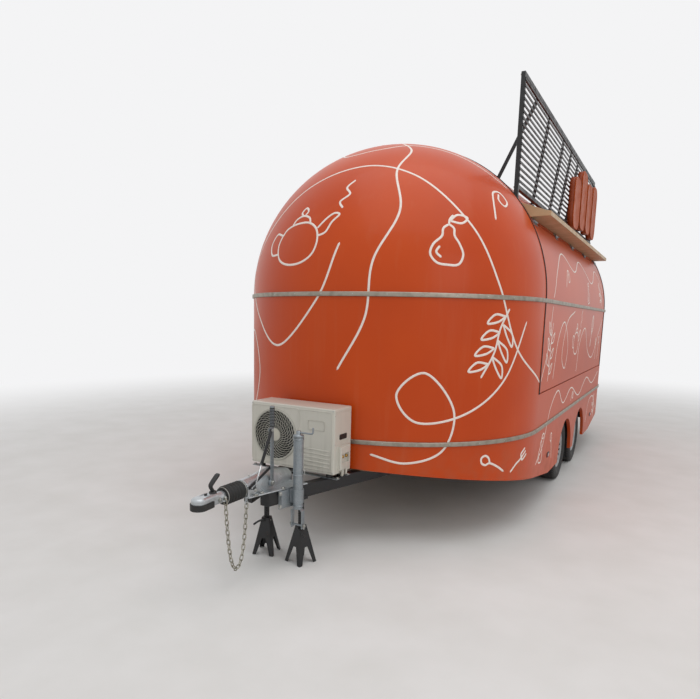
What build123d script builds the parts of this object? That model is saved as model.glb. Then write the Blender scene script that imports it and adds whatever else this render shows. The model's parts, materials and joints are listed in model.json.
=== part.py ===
"""Round nosed food trailer on two axles, parked on its wheels and two axle stands.

All sizes are in millimetres. +X is the serving side, +Y runs from the drawbar to the tail
and +Z is up. The origin lies on the ground, in the middle of the length and the width.
Names that end in _reach are measured forward from the front end of the body.
"""
import os
from math import atan2, cos, degrees, hypot, pi, radians, sin, sqrt, tan

from build123d import *

os.makedirs("parts", exist_ok=True)

# Body: a capsule with a half round roof and quarter sphere ends
body_radius = 1170.0
wall = 30.0
straight_length = 3600.0
spring_z = 1650.0
skirt_z = 240.0
kick_start = 600.0
kick_slope = 0.156
sill_z = 967.0
panel_gap = 8.0
seat_gap = 0.3

# Aluminium trim bands around the body
trim_height = 30.0
trim_depth = 12.0
lower_trim_z = 697.0
trim_end_gap = 25.0

# Black sealing strips where the ends meet the straight body
seal_width = 14.0
seal_depth = 5.0

# Serving hatch on the right side and entry door on the left
hatch_top_angle = 29.0
hatch_end_margin = 22.0
door_front = 260.0
door_width = 700.0
door_bottom_z = 505.0
door_top_angle = 27.0

# Hinges
barrel_radius = 8.0
pin_radius = 4.0
pin_clearance = 0.05
leaf_width = 27.0
leaf_thickness = 3.0
knuckle_length = 36.0
knuckle_gap = 0.5
hatch_hinge_count = 5
door_barrel_radius = 5.5
door_pin_radius = 3.0
door_leaf_thickness = 2.0
door_hinge_zs = [800.0, 1180.0, 1560.0]

# Gas struts of the hatch, from a pin on the end jamb to a bracket on the hatch
jamb_width = 40.0
jamb_depth = 95.0
strut_side_gap = 6.0
strut_foot_inset = 80.0
strut_foot_rise = 313.0
strut_head_inset = 38.0
strut_head_angle = 18.52
strut_tube_radius = 12.0
strut_rod_radius = 5.0
strut_tube_length = 610.0
strut_rod_length = 330.0
strut_eye_radius = 11.0
strut_pin_radius = 5.0
strut_eye_thickness = 12.0
bracket_plate = 5.0
bracket_gap = 1.0
bracket_base = 50.0

# Lever handle of the entry door
handle_edge = 60.0
handle_z = 1180.0
handle_plate_width = 34.0
handle_plate_height = 90.0
handle_plate_depth = 3.0
handle_boss_radius = 9.0
handle_boss_depth = 3.0
handle_lever_length = 110.0
handle_lever_depth = 5.0

# Wheels and axles
wheel_radius = 290.0
tyre_width = 185.0
tyre_gap = 7.0
tyre_shoulder = 24.0
bead_radius = 178.0
rim_flange_radius = 189.0
rim_thickness = 6.0
axle_front = 1380.0
axle_spacing = 850.0
arch_radius = 352.0
arm_length = 120.0
arm_thickness = 26.0
axle_tube = 70.0
axle_z = 376.0
spindle_radius = 20.0
backing_inset = 265.0
backing_thickness = 6.0
drum_radius = 112.0
drum_width = 66.0

# Chassis
beam_width = 60.0
beam_height = 80.0
chassis_top_z = 495.0
rail_x = 600.0
rail_rear = 4200.0
floor_thickness = 30.0
wheel_box_width = 250.0
wheel_box_top_z = 640.0
wheel_box_end = 372.0
sheet = 3.0

# Drawbar
coupler_reach = 1178.0
apex_reach = 668.0
apex_x = 60.0
drawbar_rear = 200.0

# Overrun coupling
coupling_z = 540.0
shaft_radius = 25.0
housing_front_reach = 803.0
housing_length = 425.0
housing_width = 104.0
# Housing arches: distance behind its front end, height of the arch top
housing_arches = [(0.0, 592.0), (130.0, 600.0), (250.0, 612.0), (425.0, 574.0)]
base_plate = 8.0
bellows_length = 154.7
bellows_ridges = 6
bellows_outer = 53.0
bellows_inner = 44.0
coupler_width = 80.0
coupler_bottom_z = 522.0
coupler_top_z = 578.0
pad_thickness = 6.0
pad_bottom_z = 514.0
pad_top_z = 548.0
pad_rear_reach = 1060.0
ball_radius = 25.0
ball_depth = 20.0
sleeve_length = 60.0
sleeve_wall = 7.0
coupler_round = 16.0
shaft_inset = 40.0
shaft_wall = 8.0
# Handle of the coupling head: reach, height
coupler_handle_path = [(1027.0, 570.0), (1049.0, 617.0), (985.0, 672.0)]
coupler_handle_thickness = 8.0
coupler_handle_width = 24.0

# Handbrake
lever_reach = 600.0
lever_top_z = 993.0
lever_width = 26.0
lever_thickness = 8.0
lever_grip = 118.0
grip_radius = 14.0
boss_length = 6.0
spring_head_reach = 630.0
spring_head_z = 858.0
spring_foot_reach = 785.0
spring_foot_z = 545.0
spring_radius = 9.0
spring_gap = 4.0

# Jack on the right hand side of the drawbar
jack_reach = 495.0
jack_tube_radius = 30.0
jack_tube_wall = 3.0
jack_top_z = 806.0
jack_bottom_z = 387.0
jack_fork_z = 257.0
jack_fork_width = 78.0
jack_leg_top_z = 640.0
fork_plate = 5.0
fork_depth = 30.0
fork_gap = 8.0
fork_bolt_radius = 6.0
fork_bolt_rise = 18.0
crank_reach = 100.0
crank_grip = 36.0
crank_grip_radius = 6.0
crank_hub = 26.0
crank_arm_width = 10.0
crank_arm_thickness = 7.0
clamp_thickness = 6.0
clamp_reach = 532.0
clamp_length = 136.0
clamp_bottom_z = 386.0

# Axle stands under the drawbar
stand_reach = 395.0
stand_base = 140.0
stand_neck = 50.0
stand_shell = 5.0
stand_cone_height = 230.0
stand_post = 26.0
stand_post_z = 60.0
stand_foot = 24.0
stand_window = 24.0
stand_window_z = 105.0
saddle_thickness = 8.0
saddle_ear = 20.0

# Safety chain
link_length = 42.0
link_width = 24.0
link_wire = 6.0
link_play = 0.8
eye_play = 1.2
chain_links = 29
# Eyes that hold the ends of the chain: on the side of the coupling head, under the plate
head_eye_reach = 990.0
head_eye_z = 533.0
plate_eye_reach = 755.0
plate_eye_drop = 34.0
eye_hole_radius = 8.0
eye_thickness = 6.0
eye_rim = 6.0

# Air conditioner on the drawbar
unit_left_x = -385.0
unit_width = 645.0
unit_depth = 220.0
unit_height = 412.0
unit_gap = 13.0
# Cover over the two valves on the right side, with its recess
cover_depth = 22.0
cover_width = 120.0
cover_height = 150.0
cover_rise = 96.0
recess_width = 84.0
recess_height = 60.0
unit_corner = 14.0
foot_height = 30.0
foot_radius = 18.0
bar_width = 40.0
bar_thickness = 5.0
fan_inset = 195.0
fan_rise = 206.0
fan_ring_radius = 172.0
fan_well_radius = 160.0
fan_well_depth = 130.0
fan_radius = 150.0
fan_hub_radius = 38.0
fan_blades = 3
fan_blade_chord = 110.0
fan_blade_pitch = 24.0
fan_blade_thickness = 3.0
fan_front_gap = 10.0
motor_radius = 32.0
motor_length = 45.0
motor_shaft_radius = 6.0
guard_hub_radius = 42.0
guard_rings = [82.0, 122.0]
guard_depth = 5.0
guard_sweep = 38.0
bar_inset = 45.0
bar_overhang = 12.0
foot_inset = 60.0
guard_ribs = 28
guard_wire = 3.0

# Sign frame on the roof
sign_inset = 270.0
sign_front = 12.0
sign_length = 3780.0
sign_foot_drop = 370.0
sign_height = 790.0
sign_tube = 30.0
slat_pitch = 42.0
slat_height = 18.0
slat_depth = 6.0
brace_spread = 290.0
prop_spread = 105.0
brace_tube = 24.0
letter_depth = 60.0
brace_drop = 18.0
# Distances behind the seam: of the long rear braces and of the steep props
brace_backs = [555.0, 3420.0]
prop_backs = [1039.0, 1745.0, 2194.0, 2634.0, 3100.0]
# Plain forms in front of the slats: distance behind the seam, rise, width, height, corner
sign_form_table = [
    (2180.0, 258.0, 360.0, 500.0, 110.0),
    (2600.0, 350.0, 340.0, 600.0, 100.0),
    (3010.0, 330.0, 340.0, 540.0, 110.0),
    (3420.0, 350.0, 330.0, 600.0, 120.0),
]

# Rain visor over the hatch
visor_front = 60.0
visor_rear = 60.0
visor_edge = 4.0
visor_shoulder_inset = 57.0
visor_shoulder_rise = 41.0
visor_hinge_gap = 27.0
visor_tip_inset = 20.0
visor_lip = 33.0
visor_top_inset = 234.0

# Serving counter inside the hatch, and small fittings
counter_depth = 420.0
counter_thickness = 30.0
lamp_radius = 55.0
lamp_depth = 22.0
lamp_z = 590.0
lamp_angle = 40.0
marker_length = 70.0
marker_height = 26.0
marker_depth = 8.0
marker_z = 410.0
marker_backs = [537.0, 3076.0]

# Places worked out from the sizes above
end_reach = body_radius + trim_depth
front_seam = (coupler_reach - straight_length) / 2
rear_seam = front_seam + straight_length
front_end = front_seam - end_reach
middle_y = (front_seam + rear_seam) / 2
axle_ys = [front_seam + axle_front, front_seam + axle_front + axle_spacing]
inner_radius = body_radius - wall
floor_top_z = chassis_top_z + floor_thickness
beam_bottom_z = chassis_top_z - beam_height
hatch_y0 = front_seam + hatch_end_margin
hatch_y1 = rear_seam - hatch_end_margin
door_y0 = front_seam + door_front
door_y1 = door_y0 + door_width
door_middle_y = (door_y0 + door_y1) / 2
gap_angle = degrees(panel_gap / body_radius)
tyre_face_x = inner_radius - tyre_gap
backing_plate_x = tyre_face_x - backing_inset


def ahead(reach):
    """Y at a distance ahead of the front end of the body."""
    return front_end - reach


def across(y):
    """Plane across the body at y. Its local x and y are the global X and Z."""
    return Plane.XZ.offset(-y)


def side_profile(low_z, top_angle, outer, inner):
    """Wall on the +X side from low_z up to the spring line, then up the roof arc."""
    end = radians(top_angle)
    with BuildSketch() as profile:
        with BuildLine():
            Line((outer, low_z), (outer, spring_z))
            CenterArc((0, spring_z), outer, 0, top_angle)
            Line(
                (outer * cos(end), spring_z + outer * sin(end)),
                (inner * cos(end), spring_z + inner * sin(end)),
            )
            CenterArc((0, spring_z), inner, top_angle, -top_angle)
            Line((inner, spring_z), (inner, low_z))
            Line((inner, low_z), (outer, low_z))
        make_face()
    return profile.sketch


def body_plan(radius):
    """Plan outline of the body at the given radius, a rectangle with round ends."""
    with BuildSketch() as plan:
        with Locations((0, middle_y)):
            Rectangle(2 * radius, straight_length)
        with Locations((0, front_seam), (0, rear_seam)):
            Circle(radius)
    return plan.sketch


def kick_cut():
    """Side view of what the raised nose and tail leave away under the body."""
    run = body_radius + kick_start + 50
    with BuildSketch() as cut:
        for start, way in ((front_seam + kick_start, -1), (rear_seam - kick_start, 1)):
            with BuildLine():
                Polyline(
                    (start, skirt_z),
                    (start + way * run, skirt_z + kick_slope * run),
                    (start + way * run, 0),
                    (start, 0),
                    close=True,
                )
            make_face()
    return cut.sketch


def arch_cuts():
    """Side view of the wheel arches."""
    with BuildSketch() as cut:
        with Locations(*[(y, skirt_z) for y in axle_ys]):
            Circle(arch_radius)
    return cut.sketch


def skin_z(x):
    """Height of the roof skin above a given x, with the seating gap."""
    return spring_z + sqrt((body_radius + seat_gap) ** 2 - x**2)


# Body panels

with BuildPart() as nose_shell:
    with BuildSketch(across(front_seam)):
        add(side_profile(skirt_z, 90, body_radius, inner_radius))
    revolve(axis=Axis((0, front_seam, 0), (0, 0, 1)), revolution_arc=-180)
    with BuildSketch(Plane.YZ):
        add(kick_cut())
    extrude(amount=body_radius + 10, both=True, mode=Mode.SUBTRACT)
nose_shell.part.label = "nose_shell"
export_step(nose_shell.part, "parts/nose_shell.step")

with BuildPart() as tail_shell:
    with BuildSketch(across(rear_seam)):
        add(side_profile(skirt_z, 90, body_radius, inner_radius))
    revolve(axis=Axis((0, rear_seam, 0), (0, 0, 1)), revolution_arc=180)
    with BuildSketch(Plane.YZ):
        add(kick_cut())
    extrude(amount=body_radius + 10, both=True, mode=Mode.SUBTRACT)
tail_shell.part.label = "tail_shell"
export_step(tail_shell.part, "parts/tail_shell.step")

with BuildPart() as left_wall:
    with BuildSketch(Plane.YZ.offset(-body_radius)):
        with Locations((middle_y, (skirt_z + spring_z) / 2)):
            Rectangle(straight_length - 2 * seat_gap, spring_z - skirt_z)
        add(kick_cut(), mode=Mode.SUBTRACT)
        add(arch_cuts(), mode=Mode.SUBTRACT)
        with Locations((door_middle_y, (door_bottom_z + spring_z) / 2 + wall)):
            Rectangle(door_width, spring_z - door_bottom_z + 2 * wall, mode=Mode.SUBTRACT)
    extrude(amount=wall)
left_wall.part.label = "left_wall"
export_step(left_wall.part, "parts/left_wall.step")

with BuildPart() as roof_shell:
    with BuildSketch(across(rear_seam - seat_gap)):
        low = hatch_top_angle + gap_angle
        with BuildLine():
            CenterArc((0, spring_z), body_radius, low, 180 - low)
            Line((-body_radius, spring_z), (-inner_radius, spring_z))
            CenterArc((0, spring_z), inner_radius, 180, low - 180)
            Line(
                (inner_radius * cos(radians(low)), spring_z + inner_radius * sin(radians(low))),
                (body_radius * cos(radians(low)), spring_z + body_radius * sin(radians(low))),
            )
        make_face()
    extrude(amount=straight_length - 2 * seat_gap)
    with BuildSketch(across(door_y1)):
        opening = side_profile(
            spring_z - wall, door_top_angle + gap_angle, body_radius + wall, inner_radius - wall
        )
        add(mirror(opening, Plane.YZ))
    extrude(amount=door_width, mode=Mode.SUBTRACT)
roof_shell.part.label = "roof_shell"
export_step(roof_shell.part, "parts/roof_shell.step")

with BuildPart() as right_skirt:
    with BuildSketch(Plane.YZ.offset(inner_radius)):
        with Locations((middle_y, (skirt_z + sill_z) / 2)):
            Rectangle(straight_length - 2 * seat_gap, sill_z - skirt_z)
        add(kick_cut(), mode=Mode.SUBTRACT)
        add(arch_cuts(), mode=Mode.SUBTRACT)
    extrude(amount=wall)
right_skirt.part.label = "right_skirt"
export_step(right_skirt.part, "parts/right_skirt.step")

with BuildPart() as hatch:
    with BuildSketch(across(hatch_y1)):
        add(side_profile(sill_z + panel_gap, hatch_top_angle, body_radius, inner_radius))
    extrude(amount=hatch_y1 - hatch_y0)
hatch.part.label = "hatch"
export_step(hatch.part, "parts/hatch.step")

with BuildPart() as entry_door:
    with BuildSketch(across(door_y1 - panel_gap)):
        leaf = side_profile(door_bottom_z + panel_gap, door_top_angle, body_radius, inner_radius)
        add(mirror(leaf, Plane.YZ))
    extrude(amount=door_width - 2 * panel_gap)
entry_door.part.label = "entry_door"
export_step(entry_door.part, "parts/entry_door.step")

# Trim bands, cut where the hatch and the door carry their own lengths


def trim_band(z):
    """Trim band around the whole body, rounded on its outer edges, centred at height z."""
    with BuildPart() as band:
        with BuildSketch(Plane.XY.offset(z - trim_height / 2)):
            add(body_plan(body_radius + trim_depth))
        extrude(amount=trim_height)
        ends = band.faces().filter_by(Axis.Z)
        fillet(ends.edges(), radius=trim_depth * 0.4)
        with BuildSketch(Plane.XY.offset(z - trim_height)):
            add(body_plan(body_radius + seat_gap))
        extrude(amount=2 * trim_height, mode=Mode.SUBTRACT)
    return band.part


door_cut = (4 * trim_depth, door_width + 2 * trim_end_gap, 2 * trim_height)
door_keep = (4 * trim_depth, door_width - 2 * trim_end_gap, 2 * trim_height)
hatch_cut = (4 * trim_depth, hatch_y1 - hatch_y0 + 2 * panel_gap, 2 * trim_height)
hatch_keep = (4 * trim_depth, hatch_y1 - hatch_y0, 2 * trim_height)

with BuildPart() as body_trims:
    for z in (lower_trim_z, spring_z):
        add(trim_band(z))
        with Locations((-end_reach, door_middle_y, z)):
            Box(*door_cut, mode=Mode.SUBTRACT)
    with Locations((end_reach, middle_y, spring_z)):
        Box(*hatch_cut, mode=Mode.SUBTRACT)
body_trims.part.label = "body_trims"
export_step(body_trims.part, "parts/body_trims.step")

with BuildPart() as hatch_trim:
    add(trim_band(spring_z))
    with Locations((end_reach, middle_y, spring_z)):
        Box(*hatch_keep, mode=Mode.INTERSECT)
hatch_trim.part.label = "hatch_trim"
export_step(hatch_trim.part, "parts/hatch_trim.step")

with BuildPart() as door_trims:
    for z in (lower_trim_z, spring_z):
        add(trim_band(z))
    with Locations((-end_reach, door_middle_y, (lower_trim_z + spring_z) / 2)):
        Box(4 * trim_depth, door_keep[1], spring_z, mode=Mode.INTERSECT)
door_trims.part.label = "door_trims"
export_step(door_trims.part, "parts/door_trims.step")

# Seals over the two joints, from sill height on one side over the roof to the other

with BuildPart() as seam_seals:
    for y in (front_seam, rear_seam):
        with BuildSketch(across(y + seal_width / 2)):
            for side in (1, -1):
                with Locations((side * (body_radius + seal_depth / 2 + seat_gap / 2), (sill_z + spring_z) / 2)):
                    Rectangle(seal_depth - seat_gap, spring_z - sill_z)
            with BuildLine():
                CenterArc((0, spring_z), body_radius + seal_depth, 0, 180)
                Line((-body_radius - seal_depth, spring_z), (-body_radius - seat_gap, spring_z))
                CenterArc((0, spring_z), body_radius + seat_gap, 180, -180)
                Line((body_radius + seat_gap, spring_z), (body_radius + seal_depth, spring_z))
            make_face()
        extrude(amount=seal_width)
    for side in (1, -1):
        with Locations((side * end_reach, middle_y, spring_z)):
            Box(4 * trim_depth, 2 * straight_length, trim_height + 2 * seat_gap, mode=Mode.SUBTRACT)
seam_seals.part.label = "seam_seals"
export_step(seam_seals.part, "parts/seam_seals.step")

# Floor, counter and wheel boxes

wheel_box_y0 = axle_ys[0] - wheel_box_end
wheel_box_y1 = axle_ys[1] + wheel_box_end
wheel_box_x1 = inner_radius - seat_gap
wheel_box_x0 = wheel_box_x1 - wheel_box_width
wheel_box_size = (wheel_box_width, wheel_box_y1 - wheel_box_y0, wheel_box_top_z - chassis_top_z)

with BuildPart() as floor_panel:
    with BuildSketch(Plane.XY.offset(chassis_top_z)):
        add(body_plan(inner_radius - seat_gap))
        for side in (1, -1):
            with Locations((side * wheel_box_x1, (wheel_box_y0 + wheel_box_y1) / 2)):
                Rectangle(
                    2 * (wheel_box_width + seat_gap),
                    wheel_box_size[1] + 2 * seat_gap,
                    mode=Mode.SUBTRACT,
                )
    extrude(amount=floor_thickness)
floor_panel.part.label = "floor_panel"
export_step(floor_panel.part, "parts/floor_panel.step")

with BuildPart() as wheel_boxes:
    for side in (1, -1):
        x = side * (wheel_box_x1 - wheel_box_width / 2)
        y = (wheel_box_y0 + wheel_box_y1) / 2
        with Locations((x, y, (chassis_top_z + wheel_box_top_z) / 2)):
            Box(*wheel_box_size)
        with Locations((x + side * sheet, y, (chassis_top_z + wheel_box_top_z) / 2 - sheet)):
            Box(
                wheel_box_size[0],
                wheel_box_size[1] - 2 * sheet,
                wheel_box_size[2],
                mode=Mode.SUBTRACT,
            )
wheel_boxes.part.label = "wheel_boxes"
export_step(wheel_boxes.part, "parts/wheel_boxes.step")

with BuildPart() as counter:
    with Locations((inner_radius - seat_gap - counter_depth / 2, middle_y, sill_z - counter_thickness / 2)):
        Box(counter_depth, hatch_y1 - hatch_y0, counter_thickness)
    fillet(counter.edges().filter_by(Axis.Y).sort_by(Axis.X)[:2], radius=counter_thickness * 0.3)
counter.part.label = "counter"
export_step(counter.part, "parts/counter.step")

# Chassis: two rails, cross members, outriggers and the drawbar, all of one beam section

rail_y0 = front_seam + drawbar_rear + beam_width + 2 * seat_gap
rail_y1 = front_seam + rail_rear
beam_z = chassis_top_z - beam_height / 2

with BuildPart() as chassis_rails:
    for side in (1, -1):
        with Locations((side * rail_x, (rail_y0 + rail_y1) / 2, beam_z)):
            Box(beam_width, rail_y1 - rail_y0, beam_height)
chassis_rails.part.label = "chassis_rails"
export_step(chassis_rails.part, "parts/chassis_rails.step")

inner_span = 2 * rail_x - beam_width - 2 * seat_gap
header_span = 2 * (rail_x + beam_width)
outrigger_span = inner_radius - rail_x - beam_width / 2 - 2 * seat_gap
outrigger_x = rail_x + beam_width / 2 + seat_gap + outrigger_span / 2
# Cross members: distance behind the front seam, span
cross_table = [
    (drawbar_rear + beam_width / 2 + seat_gap, header_span),
    (900.0, inner_span),
    (1805.0, inner_span),
    (2700.0, inner_span),
    (3500.0, inner_span),
    (4150.0, inner_span),
]
outrigger_table = [560.0, 900.0, 2740.0, 3100.0, 3500.0]

with BuildPart() as cross_members:
    for back, span in cross_table:
        with Locations((0, front_seam + back, beam_z)):
            Box(span, beam_width, beam_height)
    for back in outrigger_table:
        with Locations(*[(side * outrigger_x, front_seam + back, beam_z) for side in (1, -1)]):
            Box(outrigger_span, beam_width, beam_height)
cross_members.part.label = "cross_members"
export_step(cross_members.part, "parts/cross_members.step")

drawbar_run = apex_reach + end_reach + drawbar_rear
drawbar_angle = degrees(atan2(rail_x - apex_x, drawbar_run))
half_cut = beam_width / 2 / cos(radians(drawbar_angle))


def drawbar_x(reach):
    """Centre line of the right drawbar beam at a distance ahead of the body."""
    return apex_x + (apex_reach - reach) * tan(radians(drawbar_angle))


def beam_outline(grow):
    """Plan outline of the right drawbar beam, widened by grow on each side."""
    reach = half_cut + grow / cos(radians(drawbar_angle))
    with BuildSketch() as outline:
        with BuildLine():
            Polyline(
                (rail_x - reach, front_seam + drawbar_rear),
                (rail_x + reach, front_seam + drawbar_rear),
                (apex_x + reach, ahead(apex_reach)),
                (apex_x - reach, ahead(apex_reach)),
                close=True,
            )
        make_face()
    return outline.sketch


with BuildPart() as drawbar_beams:
    with BuildSketch(Plane.XY.offset(beam_bottom_z)):
        add(beam_outline(0))
    extrude(amount=beam_height)
    mirror(about=Plane.YZ)
drawbar_beams.part.label = "drawbar_beams"
export_step(drawbar_beams.part, "parts/drawbar_beams.step")

# Axles: a tube across the body, trailing arms, brake backing plates and stub spindles


with BuildPart() as axles:
    tube_top = axle_z + axle_tube / 2
    arm_x = backing_plate_x - arm_thickness
    for y in axle_ys:
        tube_y = y - arm_length
        with Locations((0, tube_y, axle_z)):
            Box(2 * arm_x, axle_tube, axle_tube)
        for side in (1, -1):
            hanger_height = beam_bottom_z - seat_gap - tube_top
            with Locations((side * rail_x, tube_y, tube_top + hanger_height / 2)):
                Box(beam_width, axle_tube * 1.8, hanger_height)
            with BuildSketch(Plane.YZ.offset(side * arm_x)):
                with Locations((tube_y, axle_z)):
                    Circle(axle_tube / 2)
                with Locations((y, wheel_radius)):
                    Circle(spindle_radius * 1.7)
                make_hull()
            extrude(amount=side * arm_thickness)
            with BuildSketch(Plane.YZ.offset(side * backing_plate_x)):
                with Locations((y, wheel_radius)):
                    Circle(drum_radius - 2)
            extrude(amount=side * backing_thickness)
            with BuildSketch(Plane.YZ.offset(side * backing_plate_x)):
                with Locations((y, wheel_radius)):
                    Circle(spindle_radius)
            extrude(amount=side * (backing_thickness + 2 + drum_width + 30))
axles.part.label = "axles"
export_step(axles.part, "parts/axles.step")

# Wheels: each is a tyre and a steel wheel with its drum and trim disc
# name, side, axle index
wheel_table = [
    ("front_right", 1, 0),
    ("front_left", -1, 0),
    ("rear_right", 1, 1),
    ("rear_left", -1, 1),
]

tyre_in_x = tyre_face_x - tyre_width
rim_in_x = tyre_in_x + 14
rim_out_x = tyre_face_x - 14
disc_x = rim_out_x - 34
drum_in_x = backing_plate_x + backing_thickness + 2


def tyre():
    """Tyre of the right hand side, turned about the X axis."""
    mid_x = tyre_face_x - tyre_width / 2
    with BuildPart() as body:
        with BuildSketch(Plane.XY):
            with BuildLine():
                Polyline(
                    (tyre_in_x + 16, bead_radius + seat_gap),
                    (tyre_face_x - 16, bead_radius + seat_gap),
                    (tyre_face_x - 10, rim_flange_radius + 8),
                    (tyre_face_x, wheel_radius - 62),
                    (tyre_face_x - 3, wheel_radius - 32),
                    (tyre_face_x - tyre_shoulder, wheel_radius),
                    (tyre_in_x + tyre_shoulder, wheel_radius),
                    (tyre_in_x + 3, wheel_radius - 32),
                    (tyre_in_x, wheel_radius - 62),
                    (tyre_in_x + 10, rim_flange_radius + 8),
                    close=True,
                )
            make_face()
        revolve(axis=Axis.X)
    return body.part


def rim():
    """Steel wheel of the right hand side with its drum and trim disc, turned about X."""
    with BuildPart() as body:
        with BuildSketch(Plane.XY):
            with BuildLine():
                Polyline(
                    (tyre_in_x + 15.5, bead_radius),
                    (tyre_in_x + 15.5, bead_radius - rim_thickness),
                    (disc_x - 20, bead_radius - rim_thickness - 12),
                    (disc_x - 20, drum_radius - 8),
                    (drum_in_x + drum_width, drum_radius),
                    (drum_in_x, drum_radius),
                    (drum_in_x, drum_radius - 8),
                    (drum_in_x + drum_width - 12, drum_radius - 8),
                    (drum_in_x + drum_width - 12, spindle_radius + pin_clearance),
                    (disc_x, spindle_radius + pin_clearance),
                    (disc_x, 1),
                    (disc_x + 16, 1),
                    (disc_x + 14, 40),
                    (disc_x + 6, 60),
                    (disc_x + 10, 150),
                    (rim_out_x - 2, bead_radius - 4),
                    (tyre_face_x - 15.5, bead_radius),
                    close=True,
                )
            make_face()
        revolve(axis=Axis.X)
    return body.part


for name, side, index in wheel_table:
    place = Pos(0, axle_ys[index], wheel_radius)
    for kind, shape in (("tyre", tyre()), ("rim", rim())):
        placed = place * (shape if side > 0 else mirror(shape, Plane.YZ))
        placed.label = f"{kind}_{name}"
        export_step(placed, f"parts/{placed.label}.step")

# Hatch jambs with the pins that carry the feet of the gas struts

hatch_hinge_angle = hatch_top_angle + gap_angle / 2
hatch_hinge_reach = body_radius + seat_gap + barrel_radius
hatch_hinge_x = hatch_hinge_reach * cos(radians(hatch_hinge_angle))
hatch_hinge_z = spring_z + hatch_hinge_reach * sin(radians(hatch_hinge_angle))
strut_offset = jamb_width + strut_side_gap + strut_tube_radius
strut_foot_x = inner_radius - strut_foot_inset
strut_foot_z = sill_z + strut_foot_rise
strut_head_x = (inner_radius - strut_head_inset) * cos(radians(strut_head_angle))
strut_head_z = spring_z + (inner_radius - strut_head_inset) * sin(radians(strut_head_angle))
strut_ends = [
    # seam, way towards the middle of the hatch, name
    (front_seam, 1, "front"),
    (rear_seam, -1, "rear"),
]

with BuildPart() as hatch_jambs:
    for seam, way, name in strut_ends:
        near = seam + way * seat_gap
        with BuildSketch(across(near)):
            add(
                side_profile(
                    sill_z, hatch_top_angle, inner_radius - seat_gap, inner_radius - jamb_depth
                )
            )
        extrude(amount=-way * jamb_width)
        with BuildSketch(across(near + way * (jamb_width - 1))):
            with Locations((strut_foot_x, strut_foot_z)):
                Circle(strut_pin_radius)
        extrude(amount=-way * (1 + strut_side_gap + 2 * strut_tube_radius))
hatch_jambs.part.label = "hatch_jambs"
export_step(hatch_jambs.part, "parts/hatch_jambs.step")

# Hinges: knuckles on a pin, drawn with the pin along Z, the skin on the -X side and the
# fixed leaf towards +Y

hinge_span = 3 * knuckle_length + 2 * knuckle_gap


def hinge_half(barrel, pin, thickness, moving):
    """The moving half has the middle knuckle, the fixed half the outer two and the pin."""
    way = -1 if moving else 1
    step = knuckle_length + knuckle_gap
    slot = barrel + 2
    with BuildPart() as half:
        with BuildSketch(Plane.XY.offset(-hinge_span / 2)):
            with Locations((thickness / 2 - barrel, way * (slot + leaf_width) / 2)):
                Rectangle(thickness, leaf_width - slot)
        extrude(amount=hinge_span)
        for z in [0] if moving else [-step, step]:
            with BuildSketch(Plane.XY.offset(z - knuckle_length / 2)):
                Circle(barrel)
                with Locations((thickness / 2 - barrel, way * leaf_width / 2)):
                    Rectangle(thickness, leaf_width)
            extrude(amount=knuckle_length)
        if moving:
            Cylinder(pin + pin_clearance, hinge_span, mode=Mode.SUBTRACT)
        else:
            Cylinder(pin, hinge_span)
    return half.part


hatch_length = hatch_y1 - hatch_y0
hatch_hinge_pitch = (hatch_length - 2 * hinge_span) / (hatch_hinge_count - 1)
hatch_hinge_planes = [
    Plane(
        origin=(hatch_hinge_x, hatch_y0 + hinge_span + i * hatch_hinge_pitch, hatch_hinge_z),
        x_dir=(cos(radians(hatch_hinge_angle)), 0, sin(radians(hatch_hinge_angle))),
        z_dir=(0, -1, 0),
    )
    for i in range(hatch_hinge_count)
]
door_hinge_x = -(body_radius + seat_gap + door_barrel_radius)
door_hinge_y = door_y0 + panel_gap / 2
door_hinge_planes = [
    Plane(origin=(door_hinge_x, door_hinge_y, z), x_dir=(-1, 0, 0), z_dir=(0, 0, 1))
    for z in door_hinge_zs
]

with BuildPart() as fixed_hinge_leaves:
    for plane in hatch_hinge_planes:
        add(plane.location * hinge_half(barrel_radius, pin_radius, leaf_thickness, False))
    for plane in door_hinge_planes:
        add(plane.location * hinge_half(door_barrel_radius, door_pin_radius, door_leaf_thickness, False))
fixed_hinge_leaves.part.label = "fixed_hinge_leaves"
export_step(fixed_hinge_leaves.part, "parts/fixed_hinge_leaves.step")

with BuildPart() as hatch_hinge_leaves:
    for plane in hatch_hinge_planes:
        add(plane.location * hinge_half(barrel_radius, pin_radius, leaf_thickness, True))
hatch_hinge_leaves.part.label = "hatch_hinge_leaves"
export_step(hatch_hinge_leaves.part, "parts/hatch_hinge_leaves.step")

with BuildPart() as door_hinge_leaves:
    for plane in door_hinge_planes:
        add(plane.location * hinge_half(door_barrel_radius, door_pin_radius, door_leaf_thickness, True))
door_hinge_leaves.part.label = "door_hinge_leaves"
export_step(door_hinge_leaves.part, "parts/door_hinge_leaves.step")

with BuildPart() as door_handle:
    handle_y = door_y1 - panel_gap - handle_edge
    with BuildSketch(Plane.YZ.offset(-body_radius - seat_gap)):
        with Locations((handle_y, handle_z)):
            RectangleRounded(handle_plate_width, handle_plate_height, handle_plate_width * 0.3)
    extrude(amount=-handle_plate_depth)
    with BuildSketch(Plane.YZ.offset(-body_radius - seat_gap - handle_plate_depth)):
        with Locations((handle_y, handle_z)):
            Circle(handle_boss_radius)
    extrude(amount=-handle_boss_depth)
    with BuildSketch(Plane.YZ.offset(-body_radius - seat_gap - handle_plate_depth - handle_boss_depth)):
        with Locations((handle_y - handle_lever_length / 2 + handle_boss_radius, handle_z)):
            SlotOverall(handle_lever_length, 2 * handle_boss_radius)
    extrude(amount=-handle_lever_depth)
door_handle.part.label = "door_handle"
export_step(door_handle.part, "parts/door_handle.step")

# Gas struts: a tube on the jamb pin and a rod that ends beside the pin on the hatch

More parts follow.
